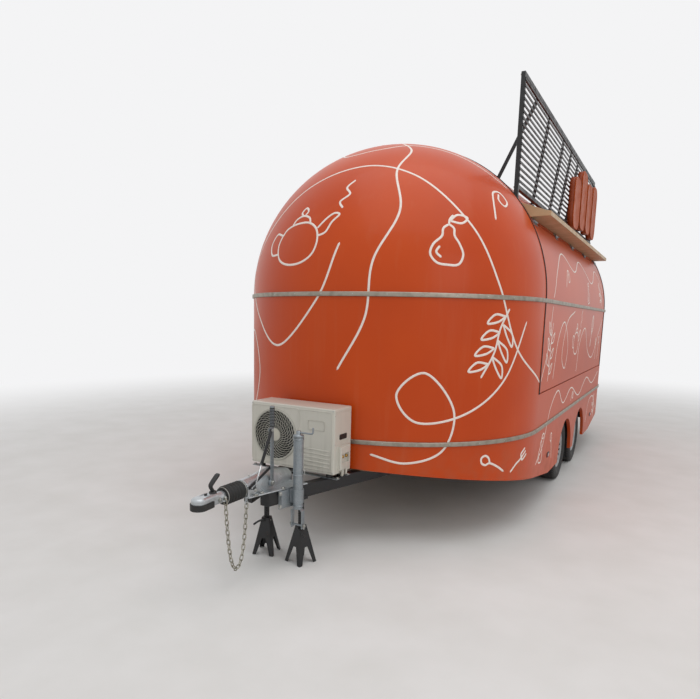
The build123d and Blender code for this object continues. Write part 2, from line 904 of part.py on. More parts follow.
strut_angle = degrees(atan2(strut_head_z - strut_foot_z, strut_head_x - strut_foot_x))
strut_length = hypot(strut_head_z - strut_foot_z, strut_head_x - strut_foot_x)


def strut_plane(seam, way):
    """Plane at the strut's foot with local X along the strut and local Z forward."""
    y = seam + way * (seat_gap + strut_offset)
    a = radians(strut_angle)
    return Plane(origin=(strut_foot_x, y, strut_foot_z), x_dir=(cos(a), 0, sin(a)), z_dir=(0, -1, 0))


def strut_tube():
    with BuildPart() as tube:
        with BuildSketch(Plane.YZ.offset(strut_eye_radius)):
            Circle(strut_tube_radius)
        extrude(amount=strut_tube_length)
        with BuildSketch(Plane.XY.offset(-strut_tube_radius / 2)):
            Circle(strut_eye_radius)
            with Locations((strut_eye_radius, 0)):
                Rectangle(2 * strut_eye_radius, strut_eye_radius)
        extrude(amount=strut_tube_radius)
        Cylinder(strut_pin_radius + pin_clearance, 4 * strut_tube_radius, mode=Mode.SUBTRACT)
        with BuildSketch(Plane.YZ.offset(strut_tube_length / 3)):
            Circle(strut_rod_radius + pin_clearance)
        extrude(amount=strut_tube_length, mode=Mode.SUBTRACT)
    return tube.part


def strut_rod():
    with BuildPart() as rod:
        with BuildSketch(Plane.YZ.offset(strut_length - strut_rod_length)):
            Circle(strut_rod_radius)
        extrude(amount=strut_rod_length - strut_pin_radius - 2)
        with BuildSketch(Plane.XY.offset(-strut_eye_thickness / 2)):
            with Locations((strut_length, 0)):
                Circle(strut_eye_radius)
        extrude(amount=strut_eye_thickness)
        with Locations((strut_length, 0)):
            Cylinder(strut_pin_radius + pin_clearance, 4 * strut_rod_radius, mode=Mode.SUBTRACT)
    return rod.part


for seam, way, name in strut_ends:
    place = strut_plane(seam, way).location
    for kind, shape in (("strut_tube", strut_tube()), ("strut_rod", strut_rod())):
        placed = place * shape
        placed.label = f"{kind}_{name}"
        export_step(placed, f"parts/{placed.label}.step")

with BuildPart() as strut_head_brackets:
    for seam, way, name in strut_ends:
        y = seam + way * (seat_gap + strut_offset)
        ear_y = y + way * (strut_eye_thickness / 2 + bracket_gap)
        spread = degrees(bracket_base / 2 / inner_radius)
        seat = inner_radius - seat_gap
        with BuildSketch(across(ear_y)):
            with BuildLine():
                Polyline(
                    *[
                        (
                            r * cos(radians(strut_head_angle + a)),
                            spring_z + r * sin(radians(strut_head_angle + a)),
                        )
                        for r, a in (
                            (seat, -spread),
                            (seat, spread),
                            (seat - bracket_plate, spread),
                            (seat - bracket_plate, -spread),
                        )
                    ],
                    close=True,
                )
            make_face()
            with Locations((strut_head_x, strut_head_z)):
                Circle(strut_eye_radius)
            make_hull()
        extrude(amount=-way * bracket_plate)
strut_head_brackets.part.label = "strut_head_brackets"
export_step(strut_head_brackets.part, "parts/strut_head_brackets.step")

# Overrun coupling on the drawbar


housing_rear_reach = housing_front_reach - housing_length
plate_eye_z = chassis_top_z - eye_hole_radius - eye_rim / 2 - plate_eye_drop
bellows_rear_reach = housing_front_reach + seat_gap
bellows_front_reach = bellows_rear_reach + bellows_length

with BuildPart() as overrun_housing:
    with BuildSketch(Plane.XY.offset(chassis_top_z)):
        rear_half = drawbar_x(housing_rear_reach) + half_cut
        with BuildLine():
            Polyline(
                (-rear_half, ahead(housing_rear_reach)),
                (rear_half, ahead(housing_rear_reach)),
                (apex_x + half_cut, ahead(apex_reach)),
                (housing_width / 2 + 8, ahead(housing_front_reach)),
                (-housing_width / 2 - 8, ahead(housing_front_reach)),
                (-apex_x - half_cut, ahead(apex_reach)),
                close=True,
            )
        make_face()
    extrude(amount=base_plate)
    for back, top_z in housing_arches:
        half = housing_width / 2
        with BuildSketch(across(ahead(housing_front_reach - back))):
            with BuildLine():
                Line((-half, top_z - half), (-half, chassis_top_z + base_plate))
                Line((-half, chassis_top_z + base_plate), (half, chassis_top_z + base_plate))
                Line((half, chassis_top_z + base_plate), (half, top_z - half))
                ThreePointArc((half, top_z - half), (0, top_z), (-half, top_z - half))
            make_face()
    loft(ruled=True)
    with BuildSketch(across(ahead(housing_rear_reach))):
        with Locations((0, coupling_z)):
            Circle(shaft_radius + pin_clearance)
    extrude(amount=housing_length, mode=Mode.SUBTRACT)
    with BuildSketch(Plane.YZ.offset(-eye_thickness / 2)):
        with Locations((ahead(plate_eye_reach), plate_eye_z)):
            Circle(eye_hole_radius + eye_rim)
        with Locations((ahead(plate_eye_reach), (plate_eye_z + chassis_top_z + 1) / 2)):
            Rectangle(2 * eye_hole_radius, chassis_top_z + 1 - plate_eye_z)
        with Locations((ahead(plate_eye_reach), plate_eye_z)):
            Circle(eye_hole_radius, mode=Mode.SUBTRACT)
    extrude(amount=eye_thickness)
overrun_housing.part.label = "overrun_housing"
export_step(overrun_housing.part, "parts/overrun_housing.step")

head_rear_reach = bellows_front_reach + seat_gap + sleeve_length
ball_reach = coupler_reach - pad_thickness - coupler_width / 2

with BuildPart() as drawbar_shaft:
    with BuildSketch(across(ahead(housing_rear_reach + shaft_inset))):
        with Locations((0, coupling_z)):
            Circle(shaft_radius)
            Circle(shaft_radius - shaft_wall, mode=Mode.SUBTRACT)
    extrude(amount=head_rear_reach - seat_gap - housing_rear_reach - shaft_inset)
drawbar_shaft.part.label = "drawbar_shaft"
export_step(drawbar_shaft.part, "parts/drawbar_shaft.step")

with BuildPart() as bellows:
    pitch = bellows_length / bellows_ridges
    start = ahead(bellows_rear_reach)
    outline = [(shaft_radius + seat_gap, start)]
    for i in range(bellows_ridges):
        outline.append((bellows_inner, start - i * pitch))
        outline.append((bellows_outer, start - (i + 0.35) * pitch))
        outline.append((bellows_outer, start - (i + 0.65) * pitch))
    outline.append((bellows_inner, start - bellows_ridges * pitch))
    outline.append((shaft_radius + seat_gap, start - bellows_ridges * pitch))
    with BuildSketch(Plane.XY.offset(coupling_z)):
        with BuildLine():
            Polyline(*outline, close=True)
        make_face()
    revolve(axis=Axis((0, start, coupling_z), (0, 1, 0)))
bellows.part.label = "bellows"
export_step(bellows.part, "parts/bellows.step")

with BuildPart() as coupler_head:
    with BuildSketch(Plane.XY.offset(coupler_bottom_z)):
        with Locations((0, ahead(ball_reach))):
            Circle(coupler_width / 2)
        with Locations((0, ahead(head_rear_reach + 10))):
            Rectangle(2 * (shaft_radius + sleeve_wall), 20)
        make_hull()
    extrude(amount=coupler_top_z - coupler_bottom_z)
    fillet(coupler_head.faces().sort_by(Axis.Z)[-1].edges(), radius=coupler_round)
    with BuildSketch(across(ahead(bellows_front_reach + seat_gap))):
        with Locations((0, coupling_z)):
            Circle(shaft_radius + sleeve_wall)
    extrude(amount=sleeve_length + 12)
    with BuildSketch(across(ahead(bellows_front_reach))):
        with Locations((0, coupling_z)):
            Circle(shaft_radius + pin_clearance)
    extrude(amount=sleeve_length + seat_gap, mode=Mode.SUBTRACT)
    with Locations((0, ahead(ball_reach), coupler_bottom_z + ball_depth / 2)):
        Cylinder(ball_radius, ball_depth, mode=Mode.SUBTRACT)
    with Locations((0, ahead(ball_reach), coupler_bottom_z + ball_depth)):
        Sphere(ball_radius, mode=Mode.SUBTRACT)
    with BuildSketch(Plane.XY.offset(head_eye_z - eye_thickness / 2)):
        eye_x = shaft_radius + sleeve_wall + eye_hole_radius
        with Locations((eye_x, ahead(head_eye_reach))):
            Circle(eye_hole_radius + eye_rim)
        with Locations((eye_x - (eye_hole_radius + sleeve_wall) / 2, ahead(head_eye_reach))):
            Rectangle(eye_hole_radius + sleeve_wall, 2 * (eye_hole_radius + eye_rim))
        with Locations((eye_x, ahead(head_eye_reach))):
            Circle(eye_hole_radius, mode=Mode.SUBTRACT)
    extrude(amount=eye_thickness)
coupler_head.part.label = "coupler_head"
export_step(coupler_head.part, "parts/coupler_head.step")

with BuildPart() as coupler_pad:
    for grow, mode in ((pad_thickness, Mode.ADD), (seat_gap, Mode.SUBTRACT)):
        with BuildSketch(Plane.XY.offset(pad_bottom_z)):
            with Locations((0, ahead(ball_reach))):
                Circle(coupler_width / 2 + grow)
            with Locations((0, ahead(head_rear_reach + 10))):
                Rectangle(2 * (shaft_radius + sleeve_wall + grow), 20)
            make_hull()
            with Locations((0, ahead(pad_rear_reach) + coupler_width)):
                Rectangle(2 * coupler_width, 2 * coupler_width, mode=Mode.SUBTRACT)
        extrude(amount=pad_top_z - pad_bottom_z, mode=mode)
coupler_pad.part.label = "coupler_pad"
export_step(coupler_pad.part, "parts/coupler_pad.step")

with BuildPart() as coupler_handle:
    with BuildSketch(Plane.YZ):
        with BuildLine():
            Polyline(*[(ahead(reach), z) for reach, z in coupler_handle_path])
        trace(line_width=coupler_handle_thickness)
    extrude(amount=coupler_handle_width / 2, both=True)
    with Locations((0, ahead(coupler_handle_path[0][0]), coupler_top_z)):
        Box(200, 200, 2 * seat_gap, mode=Mode.SUBTRACT)
    low = coupler_handle.solids().sort_by(Axis.Z)[-1]
    add(low, mode=Mode.REPLACE)
coupler_handle.part.label = "coupler_handle"
export_step(coupler_handle.part, "parts/coupler_handle.step")

# Handbrake lever with its boss on the housing, and the gas spring that holds it

lever_x = housing_width / 2 + seat_gap + boss_length + lever_thickness / 2

with BuildPart() as handbrake_lever:
    with BuildSketch(Plane.YZ.offset(housing_width / 2 + seat_gap)):
        with Locations((ahead(lever_reach), coupling_z)):
            Circle(lever_width * 0.8)
    extrude(amount=boss_length + lever_thickness)
    with BuildSketch(Plane.YZ.offset(housing_width / 2 + seat_gap + boss_length)):
        with BuildLine():
            Line((ahead(lever_reach), coupling_z), (ahead(lever_reach), lever_top_z - lever_grip / 2))
        trace(line_width=lever_width)
    extrude(amount=lever_thickness)
    with Locations((lever_x, ahead(lever_reach), lever_top_z - lever_grip / 2)):
        Cylinder(grip_radius, lever_grip)
    with BuildSketch(Plane.YZ.offset(lever_x + lever_thickness / 2 - 1)):
        with Locations((ahead(spring_head_reach), spring_head_z)):
            Circle(spring_radius * 1.3)
            with Locations((lever_width / 4, 0)):
                Circle(spring_radius * 1.3)
    extrude(amount=spring_gap + 1)
handbrake_lever.part.label = "handbrake_lever"
export_step(handbrake_lever.part, "parts/handbrake_lever.step")

with BuildPart() as handbrake_spring:
    spring_x = lever_x + lever_thickness / 2 + spring_gap + seat_gap + spring_radius
    top = Vector(spring_x, ahead(spring_head_reach), spring_head_z)
    foot = Vector(spring_x, ahead(spring_foot_reach), spring_foot_z)
    run = foot - top
    with BuildSketch(Plane(origin=top, z_dir=run)):
        Circle(spring_radius)
    extrude(amount=run.length * 0.55)
    with BuildSketch(Plane(origin=top, z_dir=run)):
        Circle(spring_radius * 0.45)
    extrude(amount=run.length)
    with BuildSketch(Plane.YZ.offset(housing_width / 2 + seat_gap)):
        with Locations((foot.Y, foot.Z)):
            Circle(spring_radius)
    extrude(amount=spring_x - housing_width / 2)
handbrake_spring.part.label = "handbrake_spring"
export_step(handbrake_spring.part, "parts/handbrake_spring.step")

# Jack without its wheel: clamp and outer tube, sliding leg with an empty fork, crank

clamp_skew = 1 / cos(radians(drawbar_angle))
plate_x = drawbar_x(jack_reach) + half_cut + seat_gap * clamp_skew
jack_x = plate_x + clamp_thickness * clamp_skew + jack_tube_radius + 2
slope = tan(radians(drawbar_angle))
clamp_rear = clamp_reach - clamp_length / 2
clamp_front = clamp_reach + clamp_length / 2
clamp_rear_x = plate_x + (jack_reach - clamp_rear) * slope
clamp_front_x = plate_x + (jack_reach - clamp_front) * slope

with BuildPart() as jack_tube:
    with BuildSketch(Plane.XY.offset(clamp_bottom_z)):
        skin = clamp_thickness * clamp_skew
        with BuildLine():
            Polyline(
                (clamp_rear_x, ahead(clamp_rear)),
                (clamp_rear_x + skin, ahead(clamp_rear)),
                (clamp_front_x + skin, ahead(clamp_front)),
                (clamp_front_x, ahead(clamp_front)),
                close=True,
            )
        make_face()
    extrude(amount=chassis_top_z - clamp_bottom_z)
    with BuildSketch(Plane.XY.offset(beam_bottom_z)):
        with Locations((jack_x, ahead(jack_reach))):
            Circle(jack_tube_radius + clamp_thickness)
        with Locations((plate_x + skin, ahead(jack_reach))):
            Rectangle(2 * skin - 1, 2 * jack_tube_radius)
        with BuildLine():
            Polyline(
                (clamp_rear_x, ahead(clamp_rear)),
                (clamp_front_x, ahead(clamp_front)),
                (plate_x - 3 * jack_tube_radius, ahead(clamp_front)),
                (plate_x - 3 * jack_tube_radius, ahead(clamp_rear)),
                close=True,
            )
        make_face(mode=Mode.SUBTRACT)
    extrude(amount=chassis_top_z - beam_bottom_z)
    with BuildSketch(Plane.XY.offset(jack_bottom_z)):
        with Locations((jack_x, ahead(jack_reach))):
            Circle(jack_tube_radius)
    extrude(amount=jack_top_z - jack_bottom_z)
    with BuildSketch(Plane.XY.offset(jack_bottom_z)):
        with Locations((jack_x, ahead(jack_reach))):
            Circle(jack_tube_radius - jack_tube_wall)
    extrude(amount=jack_top_z - jack_bottom_z - jack_tube_wall, mode=Mode.SUBTRACT)
jack_tube.part.label = "jack_tube"
export_step(jack_tube.part, "parts/jack_tube.step")

fork_crown_z = jack_bottom_z - fork_gap

with BuildPart() as jack_leg:
    with BuildSketch(Plane.XY.offset(fork_crown_z - fork_plate)):
        with Locations((jack_x, ahead(jack_reach))):
            Circle(jack_tube_radius - jack_tube_wall - pin_clearance)
    extrude(amount=jack_leg_top_z - fork_crown_z + fork_plate)
    with BuildSketch(across(ahead(jack_reach) + fork_depth / 2)):
        with BuildLine():
            Polyline(
                (jack_x - jack_fork_width / 2, jack_fork_z),
                (jack_x - jack_fork_width / 2, fork_crown_z - fork_plate * 3),
                (jack_x - jack_fork_width / 2 + fork_plate * 3, fork_crown_z),
                (jack_x + jack_fork_width / 2 - fork_plate * 3, fork_crown_z),
                (jack_x + jack_fork_width / 2, fork_crown_z - fork_plate * 3),
                (jack_x + jack_fork_width / 2, jack_fork_z),
                (jack_x + jack_fork_width / 2 - fork_plate, jack_fork_z),
                (jack_x + jack_fork_width / 2 - fork_plate, fork_crown_z - fork_plate * 3.4),
                (jack_x + jack_fork_width / 2 - fork_plate * 3.4, fork_crown_z - fork_plate),
                (jack_x - jack_fork_width / 2 + fork_plate * 3.4, fork_crown_z - fork_plate),
                (jack_x - jack_fork_width / 2 + fork_plate, fork_crown_z - fork_plate * 3.4),
                (jack_x - jack_fork_width / 2 + fork_plate, jack_fork_z),
                close=True,
            )
        make_face()
    extrude(amount=fork_depth)
    with BuildSketch(Plane.YZ.offset(jack_x - jack_fork_width / 2 - fork_plate)):
        with Locations((ahead(jack_reach), jack_fork_z + fork_bolt_rise)):
            Circle(fork_bolt_radius)
    extrude(amount=jack_fork_width + 2 * fork_plate)
jack_leg.part.label = "jack_leg"
export_step(jack_leg.part, "parts/jack_leg.step")

with BuildPart() as jack_crank:
    with BuildSketch(Plane.XY.offset(jack_top_z + seat_gap)):
        with Locations((jack_x, ahead(jack_reach))):
            Circle(jack_tube_radius + 2)
    extrude(amount=crank_hub)
    with BuildSketch(Plane.XY.offset(jack_top_z + seat_gap + crank_hub - 1)):
        with Locations((jack_x + crank_reach / 2, ahead(jack_reach))):
            SlotCenterToCenter(crank_reach, crank_arm_width)
    extrude(amount=crank_arm_thickness)
    grip_z = jack_top_z + seat_gap + crank_hub - 2 + crank_arm_thickness
    with Locations((jack_x + crank_reach, ahead(jack_reach), grip_z + crank_grip / 2)):
        Cylinder(crank_grip_radius, crank_grip)
jack_crank.part.label = "jack_crank"
export_step(jack_crank.part, "parts/jack_crank.step")

# Axle stands under the drawbar beams

stand_x = drawbar_x(stand_reach)


def stand_shell_shape():
    """Pressed steel pyramid with four open sides and a square neck."""
    with BuildPart() as shell:
        with BuildSketch(Plane.XY):
            Rectangle(stand_base, stand_base)
        with BuildSketch(Plane.XY.offset(stand_cone_height)):
            Rectangle(stand_neck, stand_neck)
        loft(ruled=True)
        with BuildSketch(Plane.XY):
            Rectangle(stand_base - 2 * stand_shell, stand_base - 2 * stand_shell)
        with BuildSketch(Plane.XY.offset(stand_cone_height - stand_shell * 3)):
            Rectangle(stand_neck, stand_neck)
        loft(ruled=True, mode=Mode.SUBTRACT)
        with BuildSketch(Plane.XY):
            Rectangle(stand_post + 2 * seat_gap, stand_post + 2 * seat_gap)
        extrude(amount=stand_cone_height, mode=Mode.SUBTRACT)
        for plane in (Plane.YZ, Plane.XZ):
            with BuildSketch(plane):
                with BuildLine():
                    Polyline(
                        (-stand_base / 2 + stand_foot, 0),
                        (-stand_window / 2, stand_window_z),
                        (stand_window / 2, stand_window_z),
                        (stand_base / 2 - stand_foot, 0),
                        close=True,
                    )
                make_face()
            extrude(amount=stand_base, both=True, mode=Mode.SUBTRACT)
    return shell.part


def stand_post_shape():
    """Ratchet post with its saddle, which takes the beam between two short ears."""
    saddle_z = beam_bottom_z - seat_gap - saddle_thickness
    ear_x = beam_width / 2 + seat_gap + saddle_thickness / 2
    with BuildPart() as post:
        with BuildSketch(Plane.XY.offset(stand_post_z)):
            Rectangle(stand_post, stand_post)
        extrude(amount=saddle_z - stand_post_z)
        with Locations((0, 0, saddle_z + saddle_thickness / 2)):
            Box(2 * ear_x + saddle_thickness, stand_post * 1.6, saddle_thickness)
        for side in (1, -1):
            with Locations((side * ear_x, 0, saddle_z + saddle_ear / 2)):
                Box(saddle_thickness, stand_post * 1.6, saddle_ear)
    return post.part


stand_places = [
    Pos(side * stand_x, ahead(stand_reach), 0) * Rot(0, 0, -side * drawbar_angle)
    for side in (1, -1)
]

with BuildPart() as stand_bases:
    for place in stand_places:
        add(place * stand_shell_shape())
stand_bases.part.label = "stand_bases"
export_step(stand_bases.part, "parts/stand_bases.step")

with BuildPart() as stand_posts:
    for place in stand_places:
        add(place * stand_post_shape())
stand_posts.part.label = "stand_posts"
export_step(stand_posts.part, "parts/stand_posts.step")

# Safety chain: welded links, each turned a quarter against the one before


def chain_link():
    """One link lying in the XY plane with its length along X and eight cornered ends."""
    with BuildPart() as link:
        with BuildSketch(Plane.XY.offset(-link_wire / 2)):
            for half, mode in ((link_width / 2, Mode.ADD), (link_inner, Mode.SUBTRACT)):
                side = link_bend
                cut = half * tan(radians(22.5))
                corners = [
                    (side + cut, -half),
                    (side + half, -cut),
                    (side + half, cut),
                    (side + cut, half),
                ]
                with BuildLine():
                    Polyline(*corners, *[(-x, -y) for x, y in corners], close=True)
                make_face(mode=mode)
        extrude(amount=link_wire)
        flat = link.faces().filter_by(Axis.Z)
        chamfer(flat.edges(), length=link_wire * 0.2)
    return link.part


link_inner = link_width / 2 - link_wire
link_bend = link_length / 2 - link_width / 2
link = chain_link()
# Links in the plane of the loop turn about their own end bends, the others hang between
link_spans = [
    2 * link_bend if i % 2 else link_length - 2 * link_play for i in range(chain_links)
]


def link_angles(run, rise):
    """Slopes of the links of a hanging chain that spans a run and a rise."""

    def slopes(pull, middle):
        return [atan2(i + 0.5 - middle, pull) for i in range(chain_links)]

    def balanced(pull):
        low, high = 0.0, float(chain_links)
        for _ in range(60):
            middle = (low + high) / 2
            if sum(n * sin(a) for n, a in zip(link_spans, slopes(pull, middle))) > rise:
                low = middle
            else:
                high = middle
        return slopes(pull, middle)

    low, high = 0.001, 1000.0
    for _ in range(80):
        pull = sqrt(low * high)
        if sum(n * cos(a) for n, a in zip(link_spans, balanced(pull))) > run:
            high = pull
        else:
            low = pull
    return balanced(pull)


eye_reach = eye_hole_radius + eye_rim
head_eye_x = shaft_radius + sleeve_wall + eye_hole_radius
chain_top = Vector(
    head_eye_x + eye_reach - eye_rim / 2,
    ahead(head_eye_reach),
    head_eye_z + eye_thickness / 2 + link_wire + eye_play,
)
chain_end = Vector(
    0,
    ahead(plate_eye_reach),
    plate_eye_z - eye_hole_radius + link_wire + eye_play,
)
chain_span = chain_end - chain_top
chain_run = hypot(chain_span.X, chain_span.Y)
chain_way = Vector(chain_span.X / chain_run, chain_span.Y / chain_run, 0)
chain_side = chain_way.cross(Vector(0, 0, 1))

with BuildPart() as safety_chains:
    joint = chain_top
    for i, slope in enumerate(link_angles(chain_run, chain_span.Z)):
        along = chain_way * cos(slope) + Vector(0, 0, sin(slope))
        up = chain_side if i % 2 else chain_side.cross(along)
        middle = joint + along * (link_spans[i] / 2)
        add(Plane(origin=middle, x_dir=along, z_dir=up).location * link)
        joint = joint + along * link_spans[i]
safety_chains.part.label = "safety_chains"
export_step(safety_chains.part, "parts/safety_chains.step")

# Air conditioner: mounting bars and feet, cabinet with the fan well, guard and fan

unit_right_x = unit_left_x + unit_width
unit_middle_x = (unit_left_x + unit_right_x) / 2
unit_base_z = chassis_top_z + bar_thickness + foot_height
unit_rear_y = ahead(unit_gap)
unit_front_y = unit_rear_y - unit_depth
unit_bar_ys = [unit_front_y + bar_inset, unit_rear_y - bar_inset]
fan_x = unit_left_x + fan_inset
fan_z = unit_base_z + fan_rise

with BuildPart() as unit_mounts:
    for y in unit_bar_ys:
        with Locations((unit_middle_x, y, chassis_top_z + bar_thickness / 2)):
            Box(unit_width + 2 * bar_overhang, bar_width, bar_thickness)
        for x in (unit_left_x + foot_inset, unit_right_x - foot_inset):
            with Locations((x, y, unit_base_z - foot_height / 2 - seat_gap / 2)):
                Cylinder(foot_radius, foot_height - seat_gap)
unit_mounts.part.label = "unit_mounts"
export_step(unit_mounts.part, "parts/unit_mounts.step")

with BuildPart() as unit_cabinet:
    with Locations((unit_middle_x, (unit_front_y + unit_rear_y) / 2, unit_base_z + unit_height / 2)):
        Box(unit_width, unit_depth, unit_height)
    fillet(unit_cabinet.edges().filter_by(Axis.Z), radius=unit_corner)
    fillet(unit_cabinet.faces().sort_by(Axis.Z)[-1].edges(), radius=unit_corner * 0.6)
    cover_y = (unit_front_y + unit_rear_y) / 2
    cover_z = unit_base_z + cover_rise
    with Locations((unit_middle_x + unit_width / 2 + cover_depth / 2, cover_y, cover_z)):
        Box(cover_depth + 2, cover_width, cover_height)
    fillet(unit_cabinet.faces().sort_by(Axis.X)[-1].edges(), radius=cover_depth / 3)
    with Locations((unit_middle_x + unit_width / 2 + cover_depth, cover_y, cover_z)):
        Box(cover_depth * 1.2, recess_width, recess_height, mode=Mode.SUBTRACT)
    with BuildSketch(across(unit_front_y + fan_well_depth)):
        with Locations((fan_x, fan_z)):
            Circle(fan_well_radius)
    extrude(amount=fan_well_depth, mode=Mode.SUBTRACT)
    with BuildSketch(across(unit_front_y + fan_well_depth)):
        with Locations((fan_x, fan_z)):
            Circle(motor_radius)
    extrude(amount=motor_length)
    with BuildSketch(across(unit_front_y + fan_well_depth)):
        with Locations((fan_x, fan_z)):
            Circle(motor_shaft_radius)
    extrude(amount=fan_well_depth - fan_front_gap)
unit_cabinet.part.label = "unit_cabinet"
export_step(unit_cabinet.part, "parts/unit_cabinet.step")

with BuildPart() as fan_rotor:
    hub_length = fan_well_depth - motor_length - 2 * fan_front_gap
    hub_rear_y = unit_front_y + fan_well_depth - motor_length - fan_front_gap
    with BuildSketch(across(hub_rear_y)):
        with Locations((fan_x, fan_z)):
            Circle(fan_hub_radius)
    extrude(amount=hub_length)
    for i in range(fan_blades):
        turn = 2 * pi * i / fan_blades
        tilt = radians(fan_blade_pitch)
        blade = Plane(
            origin=(fan_x, hub_rear_y - hub_length / 2, fan_z),
            x_dir=(cos(turn), 0, sin(turn)),
            z_dir=(-sin(turn) * sin(tilt), -cos(tilt), cos(turn) * sin(tilt)),
        )
        with BuildSketch(blade.offset(-fan_blade_thickness / 2)):
            with BuildLine():
                Polyline(
                    (fan_hub_radius * 0.7, -fan_hub_radius * 0.5),
                    (fan_radius * 0.7, -fan_blade_chord * 0.75),
                    (fan_radius * 0.9, -fan_blade_chord * 0.35),
                    (fan_radius * 0.96, fan_blade_chord * 0.2),
                    (fan_radius * 0.85, fan_blade_chord * 0.45),
                    (fan_hub_radius * 0.7, fan_hub_radius * 0.5),
                    close=True,
                )
            make_face()
        extrude(amount=fan_blade_thickness)
    with BuildSketch(across(hub_rear_y + hub_length)):
        with Locations((fan_x, fan_z)):
            Circle(motor_shaft_radius + pin_clearance)
    extrude(amount=3 * hub_length, mode=Mode.SUBTRACT)
fan_rotor.part.label = "fan_rotor"
export_step(fan_rotor.part, "parts/fan_rotor.step")

with BuildPart() as fan_guard:
    guard_y = unit_front_y - seat_gap
    with BuildSketch(across(guard_y)):
        with Locations((fan_x, fan_z)):
            Circle(fan_ring_radius)
            Circle(fan_well_radius, mode=Mode.SUBTRACT)
            Circle(guard_hub_radius)
            for radius in guard_rings:
                with BuildSketch(mode=Mode.PRIVATE) as hoop:
                    Circle(radius + guard_wire / 2)
                    Circle(radius - guard_wire / 2, mode=Mode.SUBTRACT)
                add(hoop.sketch)
    extrude(amount=guard_depth)
    with BuildSketch(across(guard_y)):
        with Locations((fan_x, fan_z)):
            Circle(fan_ring_radius)
            Circle(fan_well_radius, mode=Mode.SUBTRACT)
        for i in range(guard_ribs):
            spine = [
                (guard_hub_radius - 2, 0),
                ((guard_hub_radius + fan_well_radius) / 2, guard_sweep * 0.25),
                (fan_well_radius + 2, guard_sweep),
            ]
            places = []
            for radius, sweep in spine:
                a = radians(sweep + 360 * i / guard_ribs)
                places.append((fan_x + radius * cos(a), fan_z + radius * sin(a)))
            with BuildLine():
                ThreePointArc(*places)
            trace(line_width=guard_wire)
    extrude(amount=guard_depth)
fan_guard.part.label = "fan_guard"
export_step(fan_guard.part, "parts/fan_guard.step")

# What stands on the roof is cut to the outside of the body, with the seating gap

with BuildPart() as body_form_builder:
    with BuildSketch(across(rear_seam)):
        with Locations((0, spring_z)):
            Circle(body_radius + seat_gap)
    extrude(amount=straight_length)
    with Locations((0, front_seam, spring_z), (0, rear_seam, spring_z)):
        Sphere(body_radius + seat_gap)
body_form = body_form_builder.part

# Sign on the roof: tube frame on uprights with rear braces, slats in front, plain forms

sign_x = body_radius - sign_inset
sign_bottom_z = spring_z + body_radius - sign_foot_drop
sign_top_z = sign_bottom_z + sign_height
sign_y0 = front_seam + sign_front
sign_front_x = sign_x + sign_tube / 2

with BuildPart() as sign_frame:
    with BuildSketch(Plane.YZ.offset(sign_x - sign_tube / 2)):
        for z in (sign_bottom_z + sign_tube / 2, sign_top_z - sign_tube / 2):
            with Locations((sign_y0 + sign_length / 2, z)):
                Rectangle(sign_length, sign_tube)
        for y in (sign_y0 + sign_tube / 2, sign_y0 + sign_length - sign_tube / 2):
            foot_z = spring_z + sqrt(body_radius**2 - (sign_x + sign_tube) ** 2) - 2 * sign_tube
            with Locations((y, (foot_z + sign_top_z) / 2)):
                Rectangle(sign_tube, sign_top_z - foot_z)
    extrude(amount=sign_tube)
    add(body_form, mode=Mode.SUBTRACT)
sign_frame.part.label = "sign_frame"
export_step(sign_frame.part, "parts/sign_frame.step")

with BuildPart() as sign_braces:
    props = [(back, brace_spread) for back in brace_backs]
    props += [(back, prop_spread) for back in prop_backs]
    for back, spread in props:
        foot_x = sign_x - spread
        foot_z = spring_z + sqrt(body_radius**2 - foot_x**2)
        with BuildSketch(across(front_seam + back + brace_tube / 2)):
            with BuildLine():
                Line((foot_x - 10, foot_z - 10), (sign_x - sign_tube / 2, sign_top_z - brace_drop))
            trace(line_width=brace_tube)
            with Locations((sign_x + 100 - sign_tube / 2 - seat_gap, sign_top_z)):
                Rectangle(200, sign_top_z, mode=Mode.SUBTRACT)
        extrude(amount=brace_tube)
    add(body_form, mode=Mode.SUBTRACT)
sign_braces.part.label = "sign_braces"
export_step(sign_braces.part, "parts/sign_braces.step")

slat_span = sign_top_z - sign_bottom_z - 2 * sign_tube
slat_count = int(slat_span / slat_pitch)

with BuildPart() as sign_slats:
    for i in range(slat_count):
        z = sign_bottom_z + sign_tube + (i + 0.5) * slat_span / slat_count
        with Locations((sign_front_x + seat_gap + slat_depth / 2, sign_y0 + sign_length / 2, z)):
            Box(slat_depth, sign_length, slat_height)
sign_slats.part.label = "sign_slats"
export_step(sign_slats.part, "parts/sign_slats.step")

with BuildPart() as sign_forms:
    with BuildSketch(Plane.YZ.offset(sign_front_x + slat_depth + 2 * seat_gap)):
        for back, rise, width, height, corner in sign_form_table:
            with Locations((front_seam + back, sign_bottom_z + rise)):
                RectangleRounded(width, height, corner)
    extrude(amount=letter_depth)
sign_forms.part.label = "sign_forms"
export_step(sign_forms.part, "parts/sign_forms.step")

# Rain visor over the hatch, lamps and side markers

with BuildPart() as visor:
    with BuildSketch(across(rear_seam - visor_rear)):
        visor_top_x = body_radius - visor_top_inset
        visor_bottom_z = hatch_hinge_z + visor_hinge_gap
        top_z = skin_z(visor_top_x)
        with BuildLine():
            Polyline(
                (visor_top_x - 20, top_z - 40),
                (visor_top_x, top_z + visor_edge),
                (body_radius - visor_shoulder_inset, visor_bottom_z + visor_shoulder_rise),
                (body_radius - visor_tip_inset, visor_bottom_z + visor_lip),
                (body_radius - visor_tip_inset, visor_bottom_z),
                (visor_top_x, visor_bottom_z),
                close=True,
            )
        make_face()
    extrude(amount=straight_length - visor_rear - visor_front)
    add(body_form, mode=Mode.SUBTRACT)
visor.part.label = "visor"
export_step(visor.part, "parts/visor.step")

